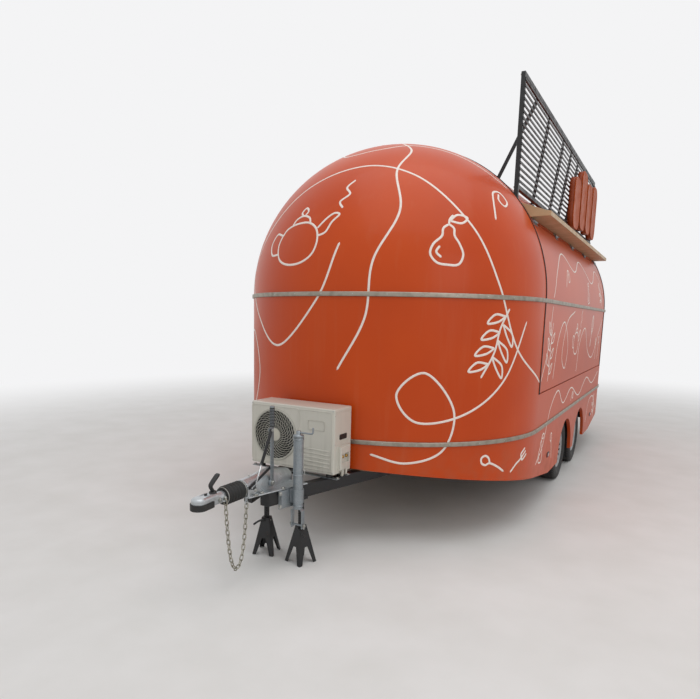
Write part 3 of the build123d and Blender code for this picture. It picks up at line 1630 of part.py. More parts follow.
with BuildPart() as lamps:
    for side in (1, -1):
        a = radians(90 - side * lamp_angle)
        plane = Plane(
            origin=((body_radius - 40) * cos(a), rear_seam + (body_radius - 40) * sin(a), lamp_z),
            x_dir=(-sin(a), cos(a), 0),
            z_dir=(cos(a), sin(a), 0),
        )
        with BuildSketch(plane):
            Circle(lamp_radius)
        extrude(amount=40 + lamp_depth)
        for back in marker_backs:
            with BuildSketch(Plane.YZ.offset(side * (body_radius + seat_gap))):
                with Locations((front_seam + back, marker_z)):
                    RectangleRounded(marker_length, marker_height, marker_height * 0.3)
            extrude(amount=side * marker_depth)
    with BuildSketch(Plane.XY.offset(skirt_z)):
        with Locations((0, rear_seam)):
            Circle(body_radius + seat_gap)
    extrude(amount=spring_z, mode=Mode.SUBTRACT)
lamps.part.label = "lamps"
export_step(lamps.part, "parts/lamps.step")
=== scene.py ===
"""Round nosed food trailer on its stands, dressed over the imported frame.

Metres. +X is the serving side, +Y runs from the drawbar to the tail, +Z is up.
"""
import json
import math
import bmesh
import bpy
import numpy as np
from mathutils import Matrix


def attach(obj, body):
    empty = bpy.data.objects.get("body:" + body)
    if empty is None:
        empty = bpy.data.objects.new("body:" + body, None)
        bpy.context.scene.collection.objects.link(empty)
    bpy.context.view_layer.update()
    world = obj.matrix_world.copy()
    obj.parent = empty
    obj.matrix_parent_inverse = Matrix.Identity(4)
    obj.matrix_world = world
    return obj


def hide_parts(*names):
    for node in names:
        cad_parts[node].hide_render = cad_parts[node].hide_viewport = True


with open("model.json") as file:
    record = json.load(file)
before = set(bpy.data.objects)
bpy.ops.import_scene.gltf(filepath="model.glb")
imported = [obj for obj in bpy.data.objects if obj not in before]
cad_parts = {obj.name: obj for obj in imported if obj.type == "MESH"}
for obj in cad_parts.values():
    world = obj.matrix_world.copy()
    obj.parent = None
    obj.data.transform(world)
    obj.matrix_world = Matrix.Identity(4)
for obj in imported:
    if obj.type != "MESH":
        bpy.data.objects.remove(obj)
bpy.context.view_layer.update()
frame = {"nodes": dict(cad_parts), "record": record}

nodes = frame["nodes"]
body_of = {name: body for body, names in frame["record"]["behaviour"]["bodies"].items()
           for name in names}

# Places on the trailer, the same as the part's
SKIN = 1.17
SPRING = 1.65
SEAM = -1.211
TAIL = 2.389
FRONT = -2.393
QUARTER = SKIN * math.pi / 2
STRAIGHT = TAIL - SEAM


# Meshes

def patch(points, ring=False, loop=False, caps=False):
    """Quads over a grid of points [row, column]: each joins two rows and two columns.

    ring joins the last column to the first, loop the last row to the first, and caps
    closes the first and last row with triangles round their mean point.
    """
    points = np.asarray(points, float)
    rows, columns = points.shape[:2]
    i = np.arange(rows if loop else rows - 1)[:, None]
    j = np.arange(columns if ring else columns - 1)[None]
    here, there = i * columns, (i + 1) % rows * columns
    quads = np.stack(np.broadcast_arrays(here + j, here + (j + 1) % columns,
                                         there + (j + 1) % columns, there + j), -1)
    corners, faces = points.reshape(-1, 3), quads.reshape(-1, 4).tolist()
    if caps:
        k = np.arange(columns)
        for row, turn in ((0, 1), (rows - 1, -1)):
            middle = np.full(columns, len(corners))
            fan = np.stack((row * columns + (k + 1) % columns, row * columns + k, middle), -1)
            corners = np.vstack((corners, points[row].mean(0)))
            faces += fan[:, ::turn].tolist()
    return corners, faces


def outwards(corners, faces):
    """A closed part with its faces turned outwards.

    Its volume is a sixth of the sum of a . (b x c) over the triangles of each face.
    """
    middle = np.mean(corners, axis=0)
    fans = np.array([(f[0], f[k], f[k + 1]) for f in faces for k in range(1, len(f) - 1)])
    a, b, c = (np.asarray(corners)[fans[:, k]] - middle for k in range(3))
    inside_out = (a * np.cross(b, c)).sum() < 0
    return corners, [list(f)[::-1] for f in faces] if inside_out else faces


def piece(name, finish, parts, body="body", bevel=0, smooth=True, instead=(), closed=True, wall=0):
    """One object from several (corners, faces) pairs, which rides on a body.

    A closed one has its faces turned outwards. bevel is the width of its broken edges, and
    wall the thickness given to a sheet on the side its faces turn away from.
    """
    if closed:
        parts = [outwards(*p) for p in parts]
    starts = np.cumsum([0] + [len(p[0]) for p in parts])
    corners = np.vstack([p[0] for p in parts])
    faces = [[v + s for v in f] for s, p in zip(starts, parts) for f in p[1]]
    mesh = bpy.data.meshes.new(name)
    mesh.from_pydata(corners.tolist(), [], faces)
    mesh.polygons.foreach_set("use_smooth", np.full(len(faces), smooth))
    mesh.materials.append(finish)
    mesh.update()
    thing = bpy.data.objects.new(name, mesh)
    bpy.context.collection.objects.link(thing)
    if bevel:
        round_edge = thing.modifiers.new("edge", "BEVEL")
        round_edge.width, round_edge.segments, round_edge.limit_method = bevel, 2, "ANGLE"
        round_edge.harden_normals = True
        round_edge.use_clamp_overlap = False
    if wall:
        sheet = thing.modifiers.new("wall", "SOLIDIFY")
        sheet.thickness, sheet.offset = abs(wall), -math.copysign(1.0, wall)
    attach(thing, body)
    if instead:
        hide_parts(*instead)
    return thing


def eased(name, width, material=None, ring=False):
    """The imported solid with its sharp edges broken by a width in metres, in its place.

    Its doubles are merged and its flat triangles joined first, on a copy: into whole faces,
    or into quads where a flat face runs round a ring.
    """
    work = bmesh.new()
    work.from_mesh(nodes[name].data)
    bmesh.ops.remove_doubles(work, verts=work.verts, dist=2e-5)
    if ring:
        bmesh.ops.join_triangles(work, faces=work.faces, angle_face_threshold=math.radians(1),
                                 angle_shape_threshold=math.pi)
    else:
        bmesh.ops.dissolve_limit(work, angle_limit=math.radians(1), verts=work.verts,
                                 edges=work.edges)
    work.verts.index_update()
    part = (np.array([v.co[:] for v in work.verts]),
            [[v.index for v in face.verts] for face in work.faces])
    work.free()
    shown = piece(f"{name}_eased", material or by_slot[slot_of[name]], [part], body_of[name], width,
                  instead=(name,))
    shown.modifiers["edge"].use_clamp_overlap = ring
    return shown


def unit(v):
    """A vector, or each row of an array, at length one."""
    v = np.asarray(v, float)
    return v / np.linalg.norm(v, axis=-1, keepdims=True)


def frames(path, up):
    """Side, up and forward at each point: forward is the path's slope, side = forward x up."""
    forward = unit(np.gradient(path, axis=0))
    side = unit(np.cross(forward, up))
    return side, np.cross(side, forward), forward


def sweep(path, profile, up=(0, 0, 1), loop=False):
    """A closed profile of (side, up) pairs carried along a path.

    Point = path + side * p + up * q. profile may have one row of pairs per path point.
    """
    path = np.asarray(path, float)
    profile = np.asarray(profile, float)
    side, rise, _ = frames(path, up)
    if loop:
        near = np.vstack((path[-1:], path, path[:1]))
        side, rise, _ = (a[1:-1] for a in frames(near, up))
    grid = (path[:, None] + side[:, None] * profile[..., :1] + rise[:, None] * profile[..., 1:])
    return patch(grid, ring=True, loop=loop, caps=not loop)


def circle(radius, count=16, start=0.0):
    """Pairs round a circle: radius * (cos t, sin t)."""
    t = start + np.arange(count) * 2 * math.pi / count
    return np.stack((np.cos(t), np.sin(t)), -1) * radius


def bar(width, height, corner, steps=3):
    """Rounded rectangle: four quarter circles of the corner's radius round its corners."""
    t = np.linspace(0, math.pi / 2, steps + 1)
    arc = np.stack((np.cos(t), np.sin(t)), -1) * corner
    w, h = width / 2 - corner, height / 2 - corner
    turns = [(w, h, 1, 0), (-w, h, 0, 1), (-w, -h, -1, 0), (w, -h, 0, -1)]
    return np.vstack([np.array([x, y]) + arc @ np.array([[c, s], [-s, c]])
                      for x, y, c, s in turns])


def lathe(profile, centre, axis, count, caps=True):
    """A profile of (radius, distance), in millimetres, turned about an axis through a centre.

    Point = centre + axis * distance + radius * (u cos t + v sin t), with u and v square to it.
    caps close its ends, and without them the profile closes on itself.
    """
    axis = unit(axis)
    u = unit(np.cross(axis, (0.3, 0.5, 0.81)))
    v = np.cross(axis, u)
    ring = circle(1.0, count)
    profile = np.array(profile, float) / 1000
    spoke = ring[:, :1] * u + ring[:, 1:] * v
    grid = (np.asarray(centre) + axis * profile[:, 1][:, None, None]
            + profile[:, 0][:, None, None] * spoke)
    return patch(grid, ring=True, loop=not caps, caps=caps)


def curve(points, count):
    """Smooth line through points: Catmull-Rom cubics, count samples in all."""
    p = np.asarray(points, float)
    p = np.vstack((2 * p[0] - p[1], p, 2 * p[-1] - p[-2]))
    t = np.linspace(0, len(p) - 3 - 1e-9, count)
    k = t.astype(int)
    s = (t - k)[:, None]
    a, b, c, d = (p[k + n] for n in range(4))
    return 0.5 * (2 * b + (c - a) * s + (2 * a - 5 * b + 4 * c - d) * s ** 2
                  + (3 * b - 3 * c + d - a) * s ** 3)


def on_body(along, rise, lift):
    """Points a lift above the body's skin and the directions out of it.

    along is the distance round the plan from the middle of the nose, towards the serving
    side. rise is the height up to the spring line, then the distance over the round.
    """
    along, rise = np.broadcast_arrays(np.asarray(along, float), np.asarray(rise, float))
    hand, far = np.sign(along) + (along == 0), np.abs(along)
    turn = np.minimum(far, QUARTER) / SKIN
    past = np.maximum(far - QUARTER - STRAIGHT, 0) / SKIN
    y = SEAM + np.clip(far - QUARTER, 0, STRAIGHT)
    lean = np.maximum(rise - SPRING, 0) / SKIN
    flat = np.cos(lean)
    way = np.stack((hand * np.where(past > 0, np.cos(past), np.sin(turn)) * flat,
                    np.where(past > 0, np.sin(past), -np.cos(turn)) * flat, np.sin(lean)), -1)
    base = np.stack((0 * y, y, np.minimum(rise, SPRING)), -1)
    return base + way * (SKIN + lift), way


# Materials

def linear(code):
    """An sRGB hex colour as linear red, green, blue and alpha."""
    s = np.array([int(code[i:i + 2], 16) for i in (0, 2, 4)]) / 255
    return (*np.where(s <= 0.04045, s / 12.92, ((s + 0.055) / 1.055) ** 2.4), 1.0)


def node(tree, kind, inputs=None, out=0, stops=(), **settings):
    """Adds a node with its settings and links, and gives one of its outputs.

    An input is a value, a hex colour or another node's output. stops are the places and
    colours of a ramp. A shader that is there already may stand in the place of kind.
    """
    made = tree.nodes.new("ShaderNode" + kind) if isinstance(kind, str) else kind
    for key, value in settings.items():
        setattr(made, key, value)
    for key, value in (inputs or {}).items():
        if isinstance(value, bpy.types.NodeSocket):
            tree.links.new(value, made.inputs[key])
        else:
            made.inputs[key].default_value = linear(value) if isinstance(value, str) else value
    for k, (at, code) in enumerate(stops):
        stop = made.color_ramp.elements[k] if k < 2 else made.color_ramp.elements.new(at)
        stop.position, stop.color = at, linear(code)
    return made.outputs[out]


def finish(name, **plain):
    """A new material with plain values on its shader.

    Gives the material, the way to add a node to it, the shader and the Object coordinates.
    """
    material = bpy.data.materials.new(name)
    material.use_nodes = True
    tree = material.node_tree
    shader = tree.nodes["Principled BSDF"]
    for key, value in plain.items():
        value = linear(value) if isinstance(value, str) else value
        shader.inputs[key.replace("_", " ")].default_value = value

    def add(kind, inputs=None, out=0, stops=(), **settings):
        return node(tree, kind, inputs, out, stops, **settings)

    return material, add, shader, add("TexCoord", out="Object")


def skinned(name, skin, **plain):
    """A new material with a fine skin: a noise's scale and detail, its height and strength."""
    made, add, shader, place = finish(name, **plain)
    fine = add("TexNoise", {"Vector": place, "Scale": skin[0], "Detail": skin[1]})
    bump = add("Bump", {"Height": fine, "Distance": skin[2], "Strength": skin[3]}, "Normal")
    add(shader, {"Normal": bump})
    return made, add, shader, place


def aged(name, colours, patches, rough, skin, chips=None, **plain):
    """A skin whose first colour turns to the second in soft patches, as it gets duller.

    patches holds the scale and detail of their noise, where they start and are full, and
    the most of the second colour. rough is the roughness of a clean and of a full patch.
    chips is the colour, scale, detail, start and full value of small spots over it all.
    """
    made, add, shader, place = skinned(name, skin, **plain)
    scale, detail, start, full, most = patches
    soft = add("TexNoise", {"Vector": place, "Scale": scale, "Detail": detail})
    share = add("MapRange", {"Value": soft, "From Min": start, "From Max": full, "To Max": most})
    tone = add("Mix", {0: share, 6: colours[0], 7: colours[1]}, 2, data_type="RGBA")
    if chips:
        flake = add("TexNoise", {"Vector": place, "Scale": chips[1], "Detail": chips[2]})
        spots = add("MapRange", {"Value": flake, "From Min": chips[3], "From Max": chips[4]})
        tone = add("Mix", {0: spots, 6: tone, 7: chips[0]}, 2, data_type="RGBA")
    dull = add("MapRange", {"Value": share, "From Max": most, "To Min": rough[0],
                            "To Max": rough[1]})
    add(shader, {"Base Color": tone, "Roughness": dull})
    return made


def pressed_rubber(name, colour, dusty, rough, lump):
    """Moulded rubber: matte black with a fine skin, pale dust in patches 40 mm wide."""
    return aged(name, (colour, dusty), (25.0, 6.0, 0.42, 0.75, 0.55), (rough - 0.1, rough + 0.15),
                (1000 / lump, 3.0, 0.00015, 0.35), IOR=1.52)


def moulded_plastic(name, colour, shade, rough, glint=0.5):
    """Injection moulded plastic: a spark-eroded texture 1.2 mm across, slow yellowing."""
    return aged(name, (colour, shade), (8.0, 5.0, 0.4, 0.75, 0.5), (rough - 0.04, rough + 0.12),
                (1000 / 1.2, 2.0, 0.00006, 0.25), IOR=1.49, Specular_IOR_Level=glint)


def lacquer_paint():
    """Two-pack gloss paint on glass fibre: a saturated orange under a clear coat.

    The eye gets a broad highlight, broken a little by ripples 6 mm apart, faint rain
    streaks down the sides, road dust below the lower trim, and a slow change of hue.
    """
    made, add, shader, place = skinned(
        "orange_lacquer", (160.0, 2.0, 0.00005, 0.3), Coat_Weight=0.08, Coat_Roughness=0.1,
        Specular_IOR_Level=0.25)
    tall = add("Mapping", {"Vector": place, "Scale": (1, 1, 0.07)})
    streak = add("TexNoise", {"Vector": tall, "Scale": 16.0, "Detail": 4.0})
    streak = add("MapRange", {"Value": streak, "From Min": 0.56, "From Max": 0.8, "To Max": 0.09})
    speck = add("TexNoise", {"Vector": place, "Scale": 11.0, "Detail": 6.0})
    speck = add("MapRange", {"Value": speck, "From Min": 0.4, "From Max": 0.75})
    z = add("SeparateXYZ", {"Vector": place}, "Z")
    low = add("MapRange", {"Value": z, "From Min": 0.75, "From Max": 0.25, "To Max": 0.4})
    dust = add("Math", {0: low, 1: speck}, operation="MULTIPLY")
    slow = add("TexNoise", {"Vector": place, "Scale": 1.4, "Detail": 3.0})
    hue = add("ValToRGB", {"Fac": slow}, stops=((0.3, "BD4004"), (0.7, "C74807")))
    worn = add("Mix", {0: streak, 6: hue, 7: "C58762"}, 2, data_type="RGBA")
    tone = add("Mix", {0: dust, 6: worn, 7: "8F6B52"}, 2, data_type="RGBA")
    dull = add("Math", {0: dust, 1: streak}, operation="ADD")
    rough = add("MapRange", {"Value": dull, "To Min": 0.36, "To Max": 0.75})
    add(shader, {"Base Color": tone, "Roughness": rough})
    return made


def drawn_metal(name, colour, dark, rough, wear, way=(1, 1, 1), line=0.6, metallic=1.0):
    """Drawn, brushed or ground metal: fine lines along one way, dull patches 45 mm wide.

    line is the spacing of the lines in millimetres, wear the share of the dark patches.
    """
    made, add, shader, place = finish(name, Metallic=metallic)
    lay = add("Mapping", {"Vector": place, "Scale": [1 / s for s in way]})
    lines = add("TexNoise", {"Vector": lay, "Scale": 1000 / line, "Detail": 3.0})
    patches = add("TexNoise", {"Vector": place, "Scale": 22.0, "Detail": 5.0})
    share = add("MapRange", {"Value": patches, "From Min": 0.45, "From Max": 0.75, "To Max": wear})
    tone = add("Mix", {0: share, 6: colour, 7: dark}, 2, data_type="RGBA")
    both = add("Math", {0: lines, 1: patches}, operation="ADD")
    dull = add("MapRange", {"Value": both, "From Min": 0.7, "From Max": 1.3,
                            "To Min": rough - 0.1, "To Max": rough + 0.15})
    bump = add("Bump", {"Height": lines, "Distance": 0.00005, "Strength": 0.3}, "Normal")
    add(shader, {"Base Color": tone, "Roughness": dull, "Normal": bump})
    return made


def dipped_zinc():
    """Hot dipped zinc on steel: spangles 4 to 8 mm wide, dull grey, with runs and white bloom."""
    made, add, shader, place = skinned("spangled_zinc", (120.0, 4.0, 0.00004, 0.25), Metallic=0.8)
    cells = add("TexVoronoi", {"Vector": place, "Scale": 170.0}, "Color")
    spangle = add("SeparateColor", {"Color": cells})
    tone = add("ValToRGB", {"Fac": spangle},
               stops=((0.0, "8A9195"), (0.5, "91989D"), (1.0, "9AA0A4")))
    soft = add("TexNoise", {"Vector": place, "Scale": 14.0, "Detail": 6.0})
    bloom = add("MapRange", {"Value": soft, "From Min": 0.5, "From Max": 0.75, "To Max": 0.3})
    tone = add("Mix", {0: bloom, 6: tone, 7: "7A7870"}, 2, data_type="RGBA")
    rough = add("MapRange", {"Value": spangle, "To Min": 0.36, "To Max": 0.52})
    add(shader, {"Base Color": tone, "Roughness": rough})
    return made


def cream_enamel():
    """Stoved enamel on steel sheet: smooth cream, with grime low down and in runs 26 mm wide."""
    made, add, shader, place = skinned("cream_enamel", (330.0, 2.0, 0.00003, 0.3), Coat_Weight=0.2)
    tall = add("Mapping", {"Vector": place, "Scale": (1, 1, 0.11)})
    runs = add("TexNoise", {"Vector": tall, "Scale": 38.0, "Detail": 5.0})
    runs = add("MapRange", {"Value": runs, "From Min": 0.46, "From Max": 0.78})
    z = add("SeparateXYZ", {"Vector": place}, "Z")
    low = add("MapRange", {"Value": z, "From Min": 0.8, "From Max": 0.5, "To Min": 0.08,
                           "To Max": 0.35})
    grime = add("Math", {0: runs, 1: low}, operation="MULTIPLY")
    tone = add("Mix", {0: grime, 6: "C9C6BB", 7: "7F7969"}, 2, data_type="RGBA")
    rough = add("MapRange", {"Value": grime, "From Max": 0.6, "To Min": 0.3, "To Max": 0.62})
    add(shader, {"Base Color": tone, "Roughness": rough})
    return made


def birch_board():
    """Birch floor board under a worn dark film: grain 5 mm wide along Y."""
    made, add, shader, place = finish("birch_board", Roughness=0.55)
    along = add("Mapping", {"Vector": place, "Scale": (1, 0.04, 1)})
    wood = add("TexNoise", {"Vector": along, "Scale": 200.0, "Detail": 6.0})
    tone = add("ValToRGB", {"Fac": wood},
               stops=((0.3, "5F4A35"), (0.55, "8A7052"), (0.8, "A58A66")))
    bump = add("Bump", {"Height": wood, "Distance": 0.0003, "Strength": 0.4}, "Normal")
    add(shader, {"Base Color": tone, "Normal": bump})
    return made


def ribbed_lens():
    """Clear red lamp moulding with ribs 3 mm apart inside: their bump glints in bands, and painted
    glints run dark to light red across each rib in its colour.
    """
    made, add, shader, place = finish("red_lens_painted_glints", Roughness=0.12, Coat_Weight=0.6, IOR=1.49)
    ribs = add("TexWave", {"Vector": place, "Scale": 52.0}, "Fac", bands_direction="Z")
    # Painted glints: the base colour goes from dark to light red across each rib
    tone = add("ValToRGB", {"Fac": ribs}, stops=((0.2, "6E0A10"), (0.8, "A5161E")))
    bump = add("Bump", {"Height": ribs, "Distance": 0.0006, "Strength": 0.6}, "Normal")
    add(shader, {"Base Color": tone, "Normal": bump})
    return made


zinc = dipped_zinc()
enamel = cream_enamel()
# Black powder coat on steel: a pebbled skin 1.6 mm across, dust, and rust at chips
black_coat = aged("powder_black", ("101114", "3E3B35"), (14.0, 6.0, 0.48, 0.75, 0.3), (0.38, 0.72),
                  (620.0, 2.0, 0.00012, 0.35), ("5C3A26", 110.0, 5.0, 0.71, 0.73))
# Cut white vinyl film: clean and satin, a little grey where dust holds
film = aged("white_film", ("EFE4DB", "CDB4A6"), (33.0, 5.0, 0.5, 0.8, 0.35), (0.4, 0.4),
            (250.0, 2.0, 0.00003, 0.2), IOR=1.48)
bolt_zinc = drawn_metal("bright_zinc", "B3B4B0", "7B7468", 0.36, 0.5)
chrome = drawn_metal("ground_chrome", "C9CBCD", "9A9C9E", 0.12, 0.1)
cast_iron = drawn_metal("zinc_casting", "BDC2C5", "7D7E7C", 0.34, 0.4, line=2.5, metallic=0.9)
chain_zinc = drawn_metal("yellowed_zinc", "A8A598", "575046", 0.4, 0.8, line=2.0)
wheel_silver = drawn_metal("wheel_lacquer", "A9ACAE", "6A655E", 0.36, 0.5, line=1.5, metallic=0.6)
brass = drawn_metal("turned_brass", "B08D4F", "6E5630", 0.34, 0.6)
seal_rubber = pressed_rubber("seal_rubber", "141414", "3A3734", 0.6, 2.0)
tyre_rubber = pressed_rubber("tyre_rubber", "1B1B1C", "4E4A44", 0.72, 2.5)
bellows_rubber = pressed_rubber("bellows_rubber", "0E0E0D", "2A2723", 0.62, 2.0)
foam_tape = pressed_rubber("pipe_foam", "C9C5BA", "8E887B", 0.7, 3.0)
black_abs = moulded_plastic("black_abs", "141415", "2A2826", 0.42)
guard_pp = moulded_plastic("guard_polypropylene", "B9B7AC", "8F8B7E", 0.42)
hub_pp = moulded_plastic("hub_polypropylene", "C6C2B4", "9A9484", 0.4)
foil = moulded_plastic("coated_fin_foil", "1B1C1C", "2C2B28", 0.5)
lining = moulded_plastic("white_lining", "DFDDD5", "C6C1B4", 0.38)
acrylic = moulded_plastic("orange_acrylic", "B04C12", "98400C", 0.5, glint=0.2)
# The returns are the same orange acrylic in a darker copy: painted shade on the side faces of the
# forms
acrylic_side_shaded = moulded_plastic("acrylic_return_shaded", "8C3811", "76300E", 0.45, glint=0.3)

by_slot = {
    "body_orange": lacquer_paint(), "seal_black": seal_rubber, "floor_board": birch_board(),
    "trim_aluminium": drawn_metal("drawn_aluminium", "A39C90", "6E675B", 0.44, 0.5, (14, 14, 1)),
    "counter_steel": drawn_metal("brushed_steel", "B4B6B7", "83827E", 0.34, 0.3, (20, 1, 1)),
    "visor_tan": moulded_plastic("tan_enamel", "BFA07A", "9C7F5B", 0.44), "galvanised": zinc,
    "tyre": tyre_rubber, "wheel_silver": wheel_silver, "black_paint": black_coat,
    "black_plastic": black_abs, "chain_steel": chain_zinc, "cabinet_cream": enamel,
    "guard_grey": guard_pp, "stand_black": black_coat, "sign_orange": acrylic,
    "lamp_red": ribbed_lens(), "interior_white": lining, "rod_chrome": chrome,
}
slot_of = {part["node"]: part["material_slot"] for part in frame["record"]["subparts"]}
for name, slot in slot_of.items():
    nodes[name].data.materials.clear()
    nodes[name].data.materials.append(by_slot[slot])


# Line drawing on the body: white strokes of vinyl film

def lowest(along):
    """Rise of the body's lower edge: it climbs by 0.156 per metre ahead of the kick."""
    far = np.abs(along)
    front = np.where(far < QUARTER, 0.6 + SKIN * np.cos(far / SKIN),
                     np.clip(0.6 - far + QUARTER, 0, 0.6))
    past = far - QUARTER - STRAIGHT
    back = np.where(past > 0, 0.6 + SKIN * np.sin(past / SKIN), np.clip(0.6 + past, 0, 0.6))
    return 0.24 + 0.156 * (front + back)


def stroke(points, count, width):
    """A ribbon on the skin along a smooth line: edges = line + (out x forward) * width / 2.

    Its width runs to a round end over half a width, and its middle is a little crowned.
    """
    track = curve(points, count)
    track[:, 1] = np.maximum(track[:, 1], lowest(track[:, 0]) + 0.02)
    line, out = on_body(track[:, 0], track[:, 1], 0.0006)
    side = unit(np.cross(out, unit(np.gradient(line, axis=0))))
    run = np.r_[0, np.cumsum(np.linalg.norm(np.diff(line, axis=0), axis=1))]
    near = np.clip(np.minimum(run, run[-1] - run) / (width / 2), 0, 1)
    half = np.sqrt(np.clip(1 - (1 - near) ** 2, 0.02, 1)) * width / 2
    across = np.array([1, 0.5, 0, -0.5, -1])
    crown = np.array([-0.0006, 0, 0.0002, 0, -0.0006])
    return patch(line[:, None] + side[:, None] * (half[:, None] * across)[..., None]
                 + out[:, None] * crown[:, None])


TEAPOT = [
    [(-.42, .18), (-.5, -.05), (-.4, -.3), (-.15, -.42), (.15, -.42), (.38, -.3), (.46, -.08),
     (.4, .14), (.2, .28), (-.1, .3), (-.34, .24), (-.44, .12)],
    [(.44, .0), (.6, .05), (.7, .22), (.82, .34), (.72, .38), (.58, .3), (.42, .14)],
    [(-.44, .14), (-.66, .2), (-.78, .02), (-.68, -.18), (-.46, -.2)],
    [(-.22, .29), (-.14, .4), (.02, .44), (.18, .38), (.24, .27)],
    [(.0, .44), (-.06, .52), (.02, .6), (.1, .52), (.04, .43)],
    [(.86, .46), (.78, .6), (.94, .74), (.84, .9), (.98, 1.06)],
]
PEAR = [
    [(.0, .42), (-.12, .3), (-.14, .12), (-.3, -.08), (-.34, -.3), (-.18, -.46), (.05, -.47),
     (.28, -.42), (.36, -.2), (.26, .02), (.14, .18), (.12, .34), (.0, .42)],
    [(.0, .42), (.02, .54), (.1, .66)],
    [(.03, .52), (.2, .68), (.44, .66), (.3, .5), (.03, .5)],
    [(-.16, -.1), (-.22, -.24), (-.1, -.34)],
]
SPOON = [[(.0, -.6), (.03, -.2), (.0, .2), (-.13, .34), (-.14, .52), (.0, .62), (.14, .52),
          (.13, .34), (.0, .2)]]
FORK = [
    [(.0, -.6), (-.03, -.2), (.0, .18), (-.13, .26), (-.14, .6)],
    [(.0, .18), (.13, .26), (.14, .6)],
    [(.0, .2), (.0, .6)],
    [(-.14, .26), (.0, .2), (.14, .26)],
]
WHISK = [
    [(.0, -.62), (-.04, -.5), (-.02, -.1), (-.22, .2), (-.2, .5), (.0, .66), (.2, .5), (.22, .2),
     (.02, -.1), (.04, -.5), (.0, -.62)],
    [(.0, -.08), (-.1, .2), (-.09, .48), (.0, .6), (.09, .48), (.1, .2), (.0, -.08)],
]
CURL = [[(-.5, -.2), (-.2, .1), (.1, .3), (.35, .2), (.3, -.05), (.08, -.08), (.06, .1), (.25, .2)]]


def sprig(leaves):
    """A bent stem with leaves on both sides: each leaf is a loop that starts on the stem."""
    stem = [(.0, .0), (.04, .3), (.0, .62), (.06, 1.0)]
    loops = []
    for k in range(leaves):
        v, s = 0.12 + 0.78 * k / leaves, 1 - 2 * (k % 2)
        loops.append([(.02, v), (s * .12, v + .12), (s * .27, v + .2), (s * .2, v + .05), (.02, v)])
    return [stem, *loops]


def sketch(motif, along, rise, size, turn=0.0):
    """A motif's strokes turned, sized and set on the skin, made wider where the plan narrows."""
    c, s = math.cos(math.radians(turn)) * size, math.sin(math.radians(turn)) * size
    spread = 1 / math.cos(max(rise - SPRING, 0) / SKIN) if abs(along) < QUARTER else 1
    return [[(along + (u * c - v * s) * spread, rise + u * s + v * c) for u, v in points]
            for points in motif]


def drawing(name, body, start, lines, motifs, width=0.015):
    """All strokes of one panel as one object, with their distances along counted from start."""
    lines = [[(start + along, rise) for along, rise in points] for points in lines]
    for motif, along, *rest in motifs:
        lines += sketch(motif, start + along, *rest)
    parts = []
    for points in lines:
        length = np.abs(np.diff(np.asarray(points), axis=0)).sum()
        parts.append(stroke(points, int(24 + length * 60), width))
    piece(name, film, parts, body, closed=False, wall=0.0008)


drawing("nose_drawing", "body", 0, [
    [(-1.52, 1.02), (-1.25, 1.42), (-.98, 1.86), (-.5, 2.42), (.1, 2.62), (.62, 2.5), (1.0, 2.12),
     (1.2, 1.72), (1.42, 1.3), (1.82, 1.06)],
    [(-1.1, 2.72), (-.75, 2.95), (-.3, 2.84), (.15, 2.9), (.7, 3.0), (1.3, 2.86), (1.7, 2.5)],
    [(-1.72, 1.5), (-1.45, 1.2), (-1.2, .86), (-.9, .8), (-.72, 1.1), (-.9, 1.38), (-1.2, 1.3),
     (-1.3, 1.0), (-1.12, .62)],
    [(.36, .62), (.6, .57), (.84, .66), (.9, .92), (.7, 1.16), (.52, 1.02), (.66, .84), (1.0, .9),
     (1.3, 1.12), (1.5, 1.5)],
    [(.5, 3.12), (.62, 2.86), (.46, 2.56), (.5, 2.2), (.34, 1.86), (.3, 1.5), (.12, 1.16)],
    [(-1.66, 2.1), (-1.36, 2.04), (-1.06, 1.84), (-.74, 1.5), (-.4, 1.3), (-.04, 1.62), (.1, 1.98)],
    [(-.62, 3.2), (-.2, 3.12), (.24, 3.24), (.62, 3.16)]],
    [(TEAPOT, -.28, 2.02, .4, 4), (PEAR, .82, 1.98, .3, -8), (WHISK, -1.12, 2.2, .34, 24),
     (sprig(7), 1.3, 1.58, .5, 158), (SPOON, 1.24, .53, .2, 62), (FORK, 1.52, .52, .2, -58),
     (CURL, 1.36, 2.3, .32, 30), (sprig(5), -1.5, .42, .36, -18), (SPOON, -.8, .6, .2, -70)])
drawing("hatch_drawing", "hatch_panel", QUARTER, [
    [(.04, 1.06), (.22, 1.3), (.3, 1.62)],
    [(.3, 1.68), (.5, 1.9), (.9, 2.08), (1.4, 1.96), (1.9, 2.1), (2.5, 1.92), (3.1, 2.1),
     (3.5, 1.86)],
    [(.5, 1.04), (.62, 1.36), (.86, 1.5), (1.1, 1.3), (1.02, 1.1), (.84, 1.22), (1.0, 1.5),
     (1.36, 1.6)],
    [(1.7, 1.02), (1.8, 1.3), (2.1, 1.44), (2.4, 1.2), (2.8, 1.12), (3.2, 1.36), (3.5, 1.54)]],
    [(sprig(6), .28, 1.04, .46, -6), (TEAPOT, 1.56, 1.32, .28, 0), (PEAR, 2.2, 1.78, .18, 6),
     (WHISK, 2.62, 1.4, .28, -20), (FORK, 3.06, 1.2, .22, 14), (SPOON, 3.3, 1.2, .22, -10),
     (CURL, .98, 1.86, .26, 8), (sprig(5), 3.3, 1.7, .3, 40)], 0.012)
drawing("skirt_drawing", "body", QUARTER, [
    [(.06, .42), (.3, .54), (.5, .8), (.8, .92), (1.1, .78), (1.5, .88), (2.0, .76), (2.5, .9),
     (3.0, .8), (3.5, .9)],
    [(2.72, .36), (2.86, .58), (3.2, .62), (3.52, .44)]],
    [(PEAR, .22, .5, .2, -10), (SPOON, .66, .46, .2, 20), (CURL, 1.6, .78, .16, 0),
     (sprig(5), 3.36, .34, .3, 20)], 0.012)
